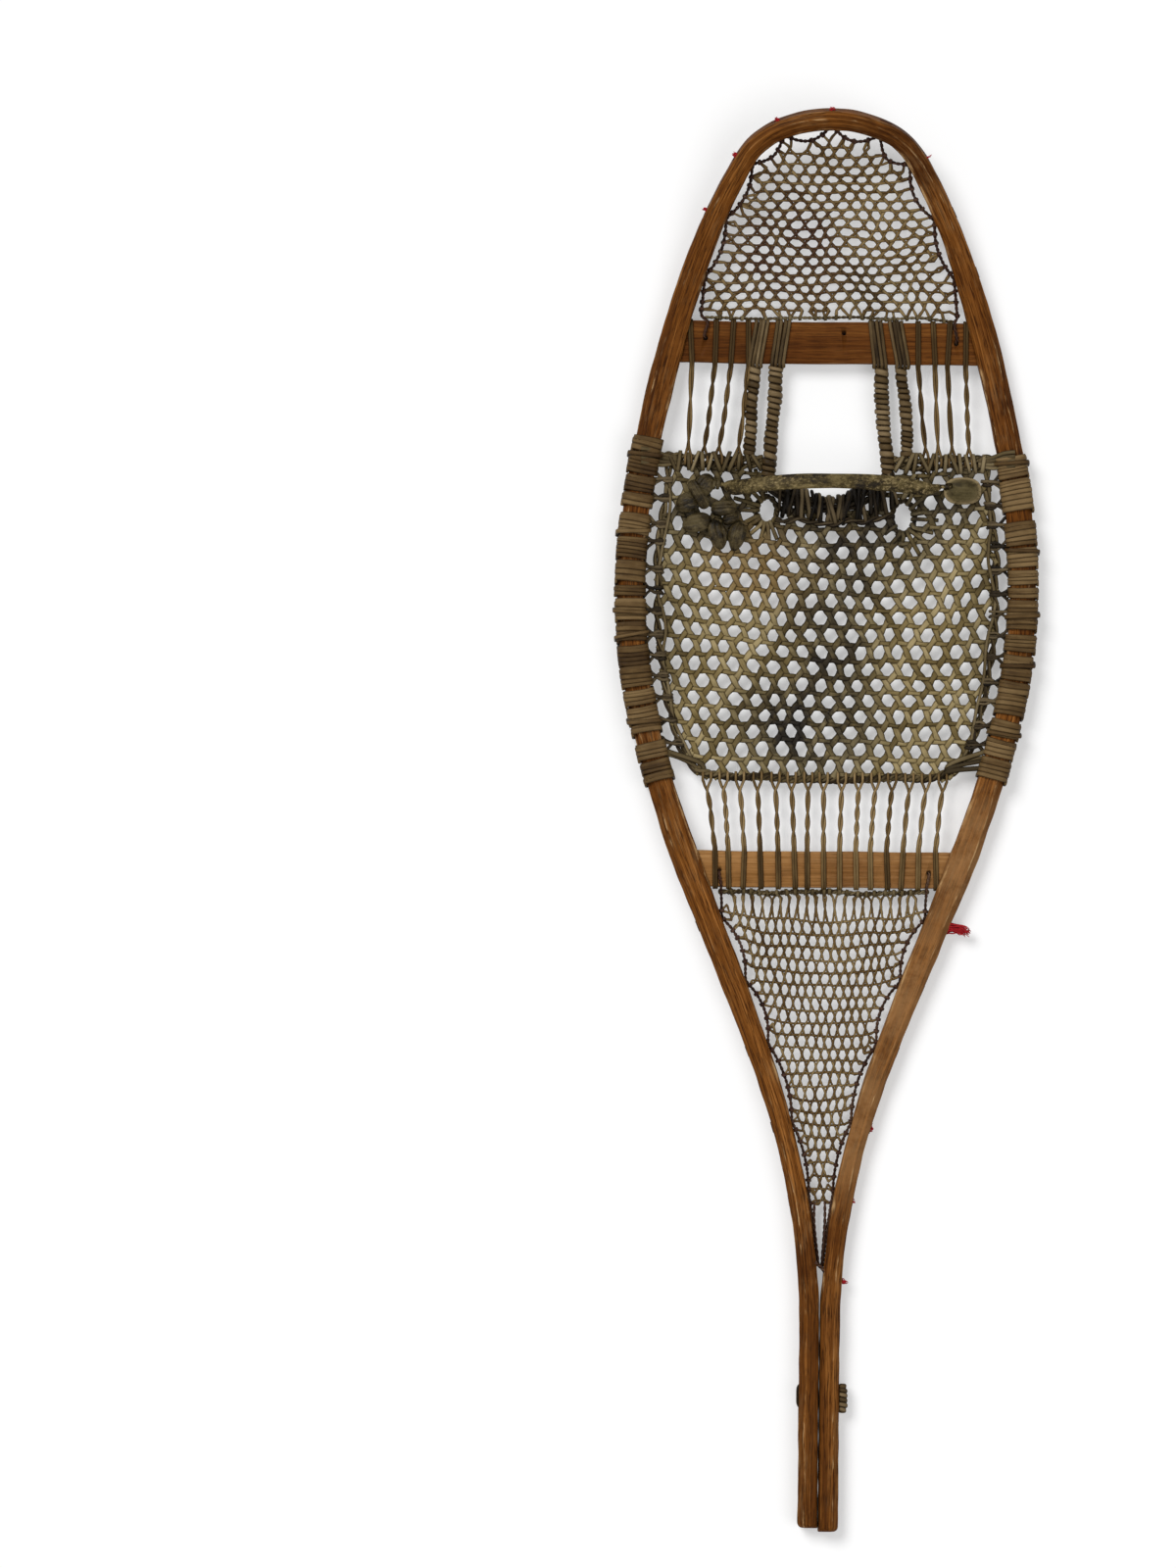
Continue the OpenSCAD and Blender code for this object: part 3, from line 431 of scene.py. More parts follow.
def wood(name, dark, mid, pale, worn, open_pores=0.75, stains=()):
    """Ash with long streaks along its grain, dark pores, dirt in patches, stains and edges rubbed pale."""
    sh = Shader(name)
    grain = sh.attribute("grain", "Vector")
    broad = sh.noise(grain, (3.5, 120, 120), 3)
    lines = sh.noise(grain, (9, 620, 620), 4, 0.65)
    pores = sh.noise(grain, (60, 1000, 1000), 3)
    colour = sh.ramp(sh.blend((broad, 0.42), (lines, 0.58)), (0.34, dark), (0.5, mid), (0.66, pale))
    colour = sh.mix(sh.span(pores, 0.5, 0.62, 0, open_pores), colour, tuple(0.45 * c for c in dark))
    # Dirt in patches, by place in the object, darkens the wood.
    grime_and_shade = sh.noise(sh.place(), 11, 5, 0.65)
    colour = sh.mix(sh.span(grime_and_shade, 0.45, 0.7, 0, 0.7), colour, (0.36, 0.28, 0.22), "MULTIPLY")
    colour = sh.stain(colour, stains)
    chips = sh.noise(grain, (55, 420, 420), 4, 0.7)
    knocks = sh.noise(sh.place(), 24, 3)
    rub = sh.math("MULTIPLY", sh.attribute("tone", "Fac"), sh.span(chips, 0.46, 0.62))
    rub = sh.math("MULTIPLY", rub, sh.span(knocks, 0.42, 0.62))
    colour = sh.mix(rub, colour, worn)
    rough = sh.span(lines, 0.3, 0.7, 0.42, 0.66)
    return sh.finish(colour, sh.blend((lines, 1.0), (pores, -0.7)), 0.5, rough, sheen=0.04)


def rawhide(name, dark, mid, pale, stains=(), gloss=0.5, grime_and_shade=0.9):
    """Rawhide lace: fibres along it, strands of different tone, painted shade at its edges, stains by
    place.
    """
    sh = Shader(name)
    grain = sh.attribute("grain", "Vector")
    fibre = sh.noise(grain, (60, 1500, 1), 4, 0.65)
    blot = sh.noise(grain, (45, 150, 1), 3)
    patch = sh.noise(sh.place(), 19)
    tone = sh.blend((sh.attribute("tone", "Fac"), 0.5), (fibre, 0.24), (blot, 0.34), (patch, 0.5))
    colour = sh.ramp(tone, (0.57, dark), (0.76, mid), (0.95, pale))
    colour = sh.stain(colour, stains)
    # Painted shade: each lace is darkened towards its edges, standing in for the shade between laces.
    colour = sh.mix(sh.span(sh.across(), 0.4, 0.95, 0.0, grime_and_shade), colour, (0.14, 0.11, 0.09), "MULTIPLY")
    pits = sh.noise(sh.place(), 700, 2)
    rough = sh.span(blot, 0.3, 0.7, gloss - 0.12, gloss + 0.14)
    return sh.finish(colour, sh.blend((fibre, 1.0), (pits, 0.4)), 0.6, rough)


def leather(name, dark, mid, pale, rubbed, rub_from, gloss, sheen, streaks=700):
    """Old leather: mottled and speckled, rubbed pale where its tone is high, with a fine grain."""
    sh = Shader(name)
    mottle = sh.noise(sh.place(), (60, 90, 90))
    speck = sh.noise(sh.place(), (300, 480, 480), 6, 0.8)
    streak = sh.noise(sh.attribute("grain", "Vector"), (30, streaks, 1))
    value = sh.blend((mottle, 0.5), (speck, 0.35), (streak, 0.15))
    colour = sh.ramp(value, (0.425, dark), (0.5, mid), (0.575, pale))
    rub = sh.math("MULTIPLY", sh.span(speck, rub_from, rub_from + 0.14), sh.attribute("tone", "Fac"))
    colour = sh.mix(rub, colour, rubbed)
    cells = sh.noise(sh.place(), 1400, 2)
    rough = sh.span(mottle, 0.35, 0.65, gloss - 0.1, gloss + 0.15)
    return sh.finish(colour, sh.blend((cells, 1.0), (streak, 0.6)), 0.5, rough, sheen)


def woollen(name, dark, mid):
    """Wool with dark and pale fibres."""
    sh = Shader(name, 0.95)
    fuzz = sh.noise(sh.attribute("grain", "Vector"), (400, 4000, 1), 3)
    return sh.finish(sh.ramp(fuzz, (0.3, dark), (0.7, mid)), fuzz, 0.6)


def stained(tint, x, y, rx, ry, share, z=WEB_Z, rz=40):
    """A stain for a material, by its place, its radii and its share there."""
    return (x, y, z), (rx, ry, rz), tint, share


FADED_ASH = (0.35, 0.18, 0.068)
DARK_ASH = (0.030, 0.008, 0.001)
BLACK_STAIN = (0.012, 0.010, 0.009)
PURPLE_STAIN = (0.048, 0.018, 0.014)
RUST_STAIN = (0.19, 0.105, 0.035)

ash = wood(
    "frame_ash", (0.050, 0.013, 0.0015), (0.148, 0.049, 0.007), (0.35, 0.140, 0.032), (0.50, 0.31, 0.14),
    stains=[
        stained(FADED_ASH, 100, -25, 50, 85, 0.6), stained(FADED_ASH, 63, -120, 50, 85, 0.6),
        stained(FADED_ASH, 29, -215, 44, 85, 0.6), stained(DARK_ASH, 48, 478, 75, 48, 0.65, z=36, rz=60),
        stained(DARK_ASH, -40, 490, 45, 35, 0.35, z=36, rz=60), stained(DARK_ASH, 0, -470, 40, 110, 0.3),
    ],
)
toe_ash = wood(
    "toe_bar_ash", (0.052, 0.014, 0.002), (0.112, 0.036, 0.006), (0.19, 0.070, 0.014), (0.30, 0.15, 0.06),
    open_pores=0.5)
heel_ash = wood(
    "heel_bar_ash", (0.18, 0.075, 0.017), (0.31, 0.148, 0.046), (0.41, 0.215, 0.080), (0.44, 0.28, 0.14),
    open_pores=0.3)
foot_hide = rawhide(
    "foot_rawhide", (0.068, 0.045, 0.014), (0.196, 0.143, 0.056), (0.37, 0.29, 0.145),
    stains=[
        stained(RUST_STAIN, -52, 185, 60, 44, 0.6), stained(BLACK_STAIN, 24, 195, 78, 52, 0.85),
        stained(BLACK_STAIN, 4, 130, 56, 70, 0.85), stained(BLACK_STAIN, -14, 70, 82, 60, 0.97),
        stained(BLACK_STAIN, 0, 233, 104, 56, 0.95), stained(BLACK_STAIN, -92, 236, 56, 60, 0.9),
        stained(BLACK_STAIN, 100, 250, 56, 50, 0.7), stained(BLACK_STAIN, 118, 140, 30, 90, 0.4),
        stained(BLACK_STAIN, 78, 217, 44, 30, 0.85), stained(BLACK_STAIN, -118, 140, 30, 90, 0.4),
    ],
)
edge_hide = rawhide("edge_rawhide", (0.038, 0.026, 0.011), (0.115, 0.083, 0.038), (0.24, 0.185, 0.10))
# The wraps' laces get a lighter painted shade at their edges than the other laces.
wrap_hide = rawhide(
    "wrap_rawhide", (0.030, 0.014, 0.004), (0.100, 0.058, 0.021), (0.21, 0.135, 0.058),
    gloss=0.45, grime_and_shade=0.72)
cord_hide = rawhide("cord_rawhide", (0.055, 0.031, 0.010), (0.155, 0.096, 0.036), (0.28, 0.19, 0.085))
whip_hide = rawhide(
    "whip_rawhide", (0.022, 0.013, 0.005), (0.094, 0.060, 0.025), (0.22, 0.155, 0.080), gloss=0.42)
dark_hide = rawhide(
    "dark_rawhide", (0.007, 0.005, 0.003), (0.038, 0.026, 0.013), (0.13, 0.095, 0.05), gloss=0.4)
fine_hide = rawhide(
    "fine_rawhide", (0.058, 0.030, 0.010), (0.150, 0.092, 0.034), (0.27, 0.19, 0.085),
    stains=[
        stained(PURPLE_STAIN, -30, 405, 70, 62, 0.75, z=24, rz=60),
        stained(BLACK_STAIN, 32, 385, 34, 30, 0.5, z=16),
    ],
)
lanyard_hide = rawhide(
    "lanyard_rawhide", (0.026, 0.010, 0.007), (0.070, 0.033, 0.021), (0.13, 0.075, 0.046))
strap_hide = leather(
    "strap_leather", (0.010, 0.006, 0.002), (0.053, 0.037, 0.012), (0.15, 0.112, 0.046), (0.36, 0.27, 0.13),
    rub_from=0.5, gloss=0.45, sheen=0.1)
tab_hide = leather(
    "tab_leather", (0.030, 0.022, 0.008), (0.064, 0.049, 0.019), (0.10, 0.077, 0.034), (0.36, 0.27, 0.14),
    rub_from=0.36, gloss=0.5, sheen=0.08)
loop_hide = leather(
    "loop_leather", (0.006, 0.004, 0.001), (0.034, 0.023, 0.008), (0.088, 0.066, 0.029), (0.2, 0.16, 0.09),
    rub_from=0.55, gloss=0.42, sheen=0.14, streaks=2600)
red_wool = woollen("red_wool", (0.20, 0.004, 0.008), (0.62, 0.032, 0.040))


# Wooden pieces


def fillet(corners, radii, steps=4):
    """Points round a convex outline with rounded corners, and 1 in the middle of each corner."""
    corners = np.asarray(corners, float)
    outline, middle = [], []
    for i, r in enumerate(radii):
        p = corners[i]
        a, b = unit(corners[i - 1] - p), unit(corners[(i + 1) % len(corners)] - p)
        half = math.acos(a @ b) / 2
        centre = p + unit(a + b) * r / math.sin(half)
        first, last = p + a * r / math.tan(half), p + b * r / math.tan(half)
        for f in np.linspace(0, 1, steps + 1):
            outline.append(centre + r * unit(first + (last - first) * f - centre))
            middle.append(math.sin(math.pi * f))
    return np.array(outline), np.array(middle)


def box_corners(w, h):
    """Corners of a box about its middle."""
    return [(w / 2, -h / 2), (w / 2, h / 2), (-w / 2, h / 2), (-w / 2, -h / 2)]


def stave_section(w, h, bevel):
    """The stave's section, out to +x, with a bevel along its outer top edge."""
    low_out, _, top_in, low_in = box_corners(w, h)
    corners = [low_out, (w / 2, h / 2 - bevel), (w / 2 - bevel, h / 2), top_in, low_in]
    radii = np.array((2.6, 1.5, 1.5, 2.2, 2.2))  # for a bevel of 4
    return fillet(corners, radii * bevel / 4)


def make_frame():
    """One bent stave with a bevelled outer edge, whose two ends are rounded off at the tail."""
    mesh = Strands()
    left_short, end_r = 2.6, 3.6
    mean_bevel, joint_run, groove_depth = 4.2, 25, 0.6
    left_end, right_end = -(S_END - left_short), S_END
    s = np.concatenate([
        left_end + end_r * (1 - np.cos(np.linspace(0, math.pi / 2, 6)))[:-1],
        np.linspace(left_end + end_r, right_end - end_r, 760),
        right_end - end_r * (1 - np.cos(np.linspace(math.pi / 2, 0, 6)))[1:],
    ])
    centre, _, out, up = stave_frame(s)
    from_end = np.clip(np.minimum(s - left_end, right_end - s), 0, end_r)
    inset = end_r - np.sqrt(end_r**2 - (end_r - from_end) ** 2)
    rings, grain, tone = [], [], []
    for i in range(len(s)):
        w = stave_w(centre[i, 1]) + drift(s[i], 0, 0.35, 90, 3) - 2 * inset[i]
        h = STAVE_H + drift(s[i], 50, 0.25, 70, 4) - 2 * inset[i]
        bevel = mean_bevel + drift(s[i], 90, 0.5, 60, 6)
        q, edge = stave_section(w, h, bevel * min(1.0, h / STAVE_H))
        q[:, 0] += drift(s[i], q[:, 1] * 6, 0.15, 22, 5)
        joint = (q[:, 0] < 0) * np.clip((JOINT_Y - centre[i, 1]) / joint_run, 0, 1)
        groove = groove_depth * np.clip(q[:, 1] / h + 0.3, 0, 0.8) / 0.8
        q[:, 0] -= joint * (abs(centre[i, 0]) - 0.01 + q[:, 0].min() - groove)
        rings.append(centre[i] + q[:, :1] * out[i] + q[:, 1:] * up[i])
        grain.append(points(s[i], q[:, 0], q[:, 1]) * MM)
        tone.append((0.10 + 0.9 * edge) * (1 - joint))
    mesh.skin(*(np.array(rows)[:, ::-1] for rows in (rings, grain, tone)))
    mesh.build("frame_stave", ash, "frame_ash", ["frame"])


def cut_out(obj, cutter):
    """Cuts the strands of a cutter out of a piece."""
    tool = bpy.data.objects.new("cutter", cutter.mesh("cutter"))
    bpy.context.scene.collection.objects.link(tool)
    cut = obj.modifiers.new("cut", "BOOLEAN")
    cut.object = tool
    cut.solver = "EXACT"
    made = bpy.data.meshes.new_from_object(obj.evaluated_get(bpy.context.evaluated_depsgraph_get()))
    obj.modifiers.clear()
    obj.data = made
    bpy.data.objects.remove(tool)


def drill(obj, places, r):
    """Cuts round holes through a crossbar, slanted as a hand drill leaves them."""
    cutter = Strands()
    z, slant = np.array((-20.0, 20.0)), 0.5
    for x, y in places:
        cutter.lace(points(x, y + slant * z, BAR_TOP + z), 2 * r, 2 * r, sides=16, square=1.0)
    cut_out(obj, cutter)


def make_bar(name, node, material, y, w, holes):
    """Flat crossbar with eased edges, its ends cut to the slant of the staves."""
    mesh = Strands()
    edge_r, into_stave, hole_r = 1.4, 1.0, 1.8
    q, edge = fillet(box_corners(w, BAR_T), (edge_r,) * 4)
    q, edge = q[::-1], edge[::-1]
    reach = inner_x(y + q[:, 0]) + into_stave
    rings, grain = [], []
    for u in np.linspace(-1, 1, 90):
        x = u * reach
        z = q[:, 1] + drift(x, q[:, 0] * 3, 0.12, 40, 8)
        rings.append(points(x, y + q[:, 0] + drift(x, 0, 0.3, 80, 9), WEB_Z + z))
        grain.append(points(x, q[:, 0], q[:, 1]) * MM)
    mesh.skin(np.array(rings), np.array(grain), 0.05 + 0.6 * edge)
    bar = mesh.build(name, material, "crossbar_ash", [node])
    drill(bar, holes, hole_r)
    # The cut leaves its new corners without a grain, so that is set again from their places
    grain = np.empty(len(bar.data.vertices) * 3, np.float32)
    bar.data.vertices.foreach_get("co", grain)
    grain = grain.reshape(-1, 3) - np.array((0, y, WEB_Z)) * MM
    bar.data.attributes["grain"].data.foreach_set("vector", grain.astype(np.float32).ravel())


# Webs


def runs(keep, shortest):
    """Slices of the stretches where keep is true, without those that are too short."""
    edges = np.flatnonzero(np.diff(np.concatenate([[False], keep, [False]]).astype(int)))
    return [slice(a, b) for a, b in zip(edges[::2], edges[1::2]) if b - a >= shortest]


def weave(mesh, edge, plane, height, pitch, row, rows, reach, widths, thick,
          rim=None, ties=None, inset=0.0, tuck=0.8, holes=()):
    """Three sets of lace, over and under each other around six-sided gaps, cut to the outline edge.

    A place in the net is x and the row count v; plane() gives its x and y, height() its z. Strands
    bend round the gaps. With a rim they stop at the inset from it and lead on to the nearest tie.
    Gives the numbers of the ties in use.
    """
    steps_per_gap, shortest, tie_reach = 12, 7, 7
    step = pitch / steps_per_gap
    wave = thick * 0.55
    round_off = pitch * 0.02
    x = np.arange(-reach, reach, step)
    strands = []
    for k in range(rows + 1):
        turn = TURN * (x / pitch - k / 2)
        strands.append((x, k + round_off / row * np.sin(turn), wave * np.cos(turn), widths[0]))
    v = np.arange(0, rows, step / row)
    turn = TURN * v
    for m in range(-int(reach / pitch) - rows, int(reach / pitch) + rows):
        for lean in (1, -1):
            across = (m + lean * v / 2 + (0.25 - 0.25 * lean)) * pitch + lean * round_off * np.sin(turn)
            strands.append((across, v, -lean * wave * np.cos(turn), widths[1]))
    used = set()
    for sx, sv, sz, w in strands:
        px, py = plane(sx, sv)
        keep = inside(edge, px, py)
        for cx, cy, rx, ry in holes:
            keep &= ((px - cx) / rx) ** 2 + ((py - cy) / ry) ** 2 > 1
        if rim is not None and keep.any():
            near = ((rim[None, :, 0] - px[:, None]) ** 2 + (rim[None, :, 1] - py[:, None]) ** 2).min(1)
            keep &= near > inset**2
        tone = rng.uniform(0.25, 0.75)
        for run in runs(keep, shortest):
            path = points(px, py, height(px, py) + sz)[run]
            ends = []
            for tip, before in ((path[0], path[1]), (path[-1], path[-2])):
                end = tip + tuck * unit(tip - before)
                if ties is not None:
                    i = int(np.argmin(((ties - tip) ** 2).sum(1)))
                    if np.linalg.norm(ties[i] - tip) < inset + tie_reach:
                        end = ties[i]
                        used.add(i)
                ends.append(end)
            path = np.vstack([ends[0], (ends[0] + path[0]) / 2, path, (ends[1] + path[-1]) / 2, ends[1]])
            squeeze = 1 + 0.12 * np.sin(lengths(path) / pitch * 9 + rng.uniform(0, 6))
            lace_w = w * rng.uniform(0.88, 1.12) * squeeze
            mesh.lace(path, lace_w, thick, UP, tone, sides=6 if thick < 1.5 else 8)
    return used


def ties_along(cord, spacing):
    """Places along a cord where strands of a net are tied to it, each with the cord's direction there."""
    s = lengths(cord)
    at = np.arange(spacing / 2, s[-1], spacing)
    at = at + rng.uniform(-0.2, 0.2, len(at)) * spacing
    i = np.clip(np.searchsorted(s, at), 0, len(cord) - 1)
    return np.stack([cord[i], headings(cord)[i]], 1)


def hitches(mesh, ties, r, w):
    """Two turns of lace around a cord at each tie."""
    steps = 17
    for p, d in ties:
        side = unit(np.cross(d, UP))
        top = np.cross(side, d)
        a = np.linspace(0, 2 * TURN, steps)[:, None] + rng.uniform(0, 6)
        shift = d * np.linspace(-0.5, 0.5, steps)[:, None] * w
        ring = p + r * (np.cos(a) * side + np.sin(a) * top) + shift
        mesh.lace(ring, w, w * 0.8, sides=5, tone=rng.uniform(0.3, 0.6))


def lanyard_route(stitches, depths):
    """Route of a lanyard pulled to the stave at its stitches and hanging to the depths in between."""
    half_stitch = 2.0
    route = []
    for s, nxt, depth in zip(stitches, [*stitches[1:], None], [*depths, 0]):
        a = on_stave(s - half_stitch, LANYARD_OFF)
        b = on_stave(s + half_stitch, LANYARD_OFF)
        route += [a, b]
        if nxt is not None:
            c = on_stave(nxt - half_stitch, LANYARD_OFF)
            for t in (0.22, 0.5, 0.78):
                _, _, out, _ = stave_frame(s + (nxt - s) * t)
                route.append(b + (c - b) * t - depth * 4 * t * (1 - t) * out)
    return route


def lanyard_end(xs, hole_y, bar_y, cord_y, toward, lead):
    """A lanyard's way out of its crossbar hole, over the bar's edge and past the cord along the bar."""
    ys = (hole_y, hole_y + toward * 3, bar_y - toward, cord_y + toward, cord_y + toward * lead)
    return points(xs, ys, (BAR_TOP - 2, BAR_TOP + 1.2, BAR_TOP + 1.6, WEB_Z + 2.5, WEB_Z + 1.0))


def outside_stitches(mesh, stitches):
    """The short lengths of lanyard let into the stave's outer face."""
    r, proud = 1.1, 0.35
    for s in stitches:
        path = on_stave(s + np.linspace(-4, 4, 9), 0.01)
        mesh.lace(path - (r - proud) * stave_frame(s)[2], 2 * r, 2 * r, sides=7, tone=0.4)


def over_bar(x, y, w, toward, clear, slant=0.0):
    """Route over a crossbar from the foot web's side, down behind it and back below it."""
    near, back = y + toward * w / 2, y - toward * w / 2
    top, low = BAR_TOP + clear, WEB_Z - BAR_T / 2 - clear
    far = x + slant
    return [
        (x, near + toward * 2.5, BAR_TOP - 0.6), (x, near - toward * 1.5, top), ((x + far) / 2, y, top),
        (far, back + toward * 1.5, top), (far, back - toward * clear, BAR_TOP - 1.5),
        (far, back - toward * clear, low + clear + 1.5), (far, back + toward * 1.5, low),
        (x, y, low), (x, near - toward * 6, low),
    ]


def make_toe_web():
    """Fine net that hangs from the toe lanyard and from a cord along the toe crossbar."""
    stitches = [-s for s in TOE_STITCHES[:0:-1]] + TOE_STITCHES
    bar_front = TOE_BAR_Y + TOE_BAR_W / 2
    cord_y = bar_front + 3.2
    half, row = 91.0, 6.45
    ends = []
    for (hx, hy), sx in zip((TOE_HOLES[0], TOE_HOLES[-1]), (-1, 1)):
        xs = (hx, hx + sx * 0.6, hx - sx * 1.5, sx * (half + 0.5), sx * half)
        ends.append(lanyard_end(xs, hy, bar_front, cord_y, 1, lead=9))
    route = curve(np.vstack([ends[0], lanyard_route(stitches, TOE_SCALLOPS), ends[1][::-1]]), 10)
    rim = route[route[:, 1] > cord_y - 0.5]
    xs = np.linspace(-half, half, 24)
    bar_cord = curve(points(xs, cord_y + drift(xs, 0, 1.3, 45, 23) - (xs / half) ** 2, WEB_Z + 2.0), 8)
    mesh, cords, lace = Strands(), Strands(), Strands()

    def plane(x, v):
        y = cord_y + 7.0 + (v - 1) * row
        bend = 3.0 * (x / 90) ** 2 * np.clip((y - cord_y) / 40, 0, 1)
        return x + drift(x, y, 1.3, 45, 21), y + bend - 2 + drift(x, y, 1.1, 40, 22)

    rim_ties = ties_along(rim, 7.6)
    ties = np.vstack([rim_ties, ties_along(bar_cord, 8.4)])
    edge = np.vstack([rim[:, :2], bar_cord[::-1, :2]])
    used = weave(
        mesh, edge, plane, lambda x, y: WEB_Z + rise(y), pitch=10.1, row=row, rows=22, reach=110,
        widths=(2.05, 2.4), thick=1.25, rim=np.vstack([rim, bar_cord]), ties=ties[:, 0], inset=5.0)
    cords.rope(route, r=0.75, off=0.6, pitch=6.5, tone=0.45)
    hitches(cords, ties[[i for i in used if i < len(rim_ties)]], r=1.5, w=1.6)
    outside_stitches(cords, stitches)
    cords.build("toe_lanyard_cord", lanyard_hide, "dark_rawhide", ["toe_lanyard"])
    lace.rope(bar_cord, r=0.7, off=0.55, pitch=7.0, tone=0.6)
    hitches(lace, ties[[i for i in used if i >= len(rim_ties)]], r=1.5, w=1.6)
    lace.build("toe_bar_lace", edge_hide, "dark_rawhide", ["toe_bar_cord"])
    mesh.build("toe_weave", fine_hide, "fine_rawhide", ["toe_web"])


def make_heel_web():
    """Fine net that hangs from the heel lanyards and from a cord along the heel crossbar."""
    right = [s_at(t) for t in HEEL_STITCHES_AT]
    bar_rear = HEEL_BAR_Y - HEEL_BAR_W / 2
    cord_y = bar_rear - 2.8
    low_y, crotch_y = TOE_Y - 783, TOE_Y - 826
    hx, hy = HEEL_HOLES[1]
    start = lanyard_end(hx - np.array((0, 0, 1.5, 1.5, 2.0)), hy, bar_rear, cord_y, -1, lead=8)
    tail = [*on_stave(np.array((s_at(795), s_at(812))), LANYARD_OFF), (1.6, crotch_y, WEB_Z + 1.0)]
    route = curve(np.vstack([start, lanyard_route(right, HEEL_SCALLOPS), tail]), 10)
    rim = route[(route[:, 1] > low_y) & (route[:, 1] < cord_y + 0.5)]
    xs = np.linspace(-hx, hx, 20)
    bar_cord = curve(points(xs, cord_y + drift(xs, 0, 0.9, 40, 33), WEB_Z + 1.5), 8)
    mesh, cords, lace = Strands(), Strands(), Strands()

    def plane(x, v):
        y = cord_y - np.interp(v, [0, 1, 2, 40], [0, 14.5, 24.3, 24.3 + 38 * 9.3])
        deep = np.clip((cord_y - y) / 14, 0, 1) * np.clip(1.1 - (cord_y - y) / 250, 0.2, 1)
        bend = -7.0 * (1 - (x / np.maximum(12, 76 + (y - cord_y) * 0.29)) ** 2) * deep
        return x + drift(x, y, 0.8, 40, 31), y + np.clip(bend, -7, 9) + drift(x, y, 0.9, 40, 32)

    rims = [rim, on_side(-1, rim)]
    side_ties = np.vstack([ties_along(cord, 8.6) for cord in rims])
    ties = np.vstack([side_ties, ties_along(bar_cord, 6.4)])
    edge = np.vstack([rims[0], rims[1][::-1]])[:, :2]
    used = weave(
        mesh, edge, plane, lambda x, y: WEB_Z, pitch=6.5, row=9.6, rows=25, reach=84,
        widths=(2.0, 1.85), thick=1.2, rim=np.vstack([*rims, bar_cord]), ties=ties[:, 0], inset=3.8)
    hitches(cords, ties[[i for i in used if i < len(side_ties)]], r=1.5, w=1.6)
    hitches(lace, ties[[i for i in used if i >= len(side_ties)]], r=2.0, w=1.7)
    for sx in (1, -1):
        cords.rope(on_side(sx, route), r=0.7, off=0.55, pitch=6.5, tone=0.55)
    for x0, x1 in ((-4.5, -1.0), (3.0, 1.0)):
        loose = [(x0, low_y + 3, WEB_Z), (x0, low_y - 14, WEB_Z + 1), (x1, crotch_y, WEB_Z + 1)]
        cords.rope(curve(loose, 8), r=0.7, off=0.5, pitch=9)
    crossing = points((-3.4, 0, 3.6), crotch_y + np.array((3, 0, -4)), WEB_Z + np.array((7.5, 5, 6.5)))
    cords.rope(curve(crossing, 8), r=0.9, off=0.7, pitch=5)
    outside_stitches(cords, right + [-s for s in right])
    cords.build("heel_lanyard_cord", lanyard_hide, "dark_rawhide", ["heel_lanyard"])
    lace.rope(bar_cord, r=1.1, off=0.9, pitch=7.0, tone=0.4)
    lace.build("heel_bar_lace", edge_hide, "dark_rawhide", ["heel_bar_cord"])
    mesh.build("heel_weave", fine_hide, "fine_rawhide", ["heel_web"])


def side_x(y):
    """Where the side edge cord of the foot web runs, with its rounded rear corner."""
    clear, corner_len, corner_in = 10.2, 46, 15
    corner = np.clip((REAR_Y + corner_len - np.asarray(y, float)) / corner_len, 0, 1)
    return inner_x(np.maximum(y, REAR_Y)) - clear - corner_in * (1 - np.sqrt(1 - 0.98 * corner**2))


def toe_cord_line(x):
    """The toe cord sags behind the toe hole."""
    sag = 14
    return TOE_CORD_Y + sag * (np.asarray(x) / TOE_CORD_HALF) ** 2


# Eyelets at the ends of the toe cord: across, along, half the width and half the length
EYELETS = [(-43.7, 222.5, 5.4, 8.4), (54.5, 218.5, 6.1, 10.2)]
# Headings of the laces seen round each eyelet, in half turns from +X
EYELET_LACES = [
    (0.60, 0.74, 0.88, 1.0, 1.12, 1.22, 1.33, 1.42, 1.53, 1.66),
    (0.36, 0.22, 0.08, -0.05, -0.16, -0.27, -0.38, -0.5, -0.63, -0.8),
]


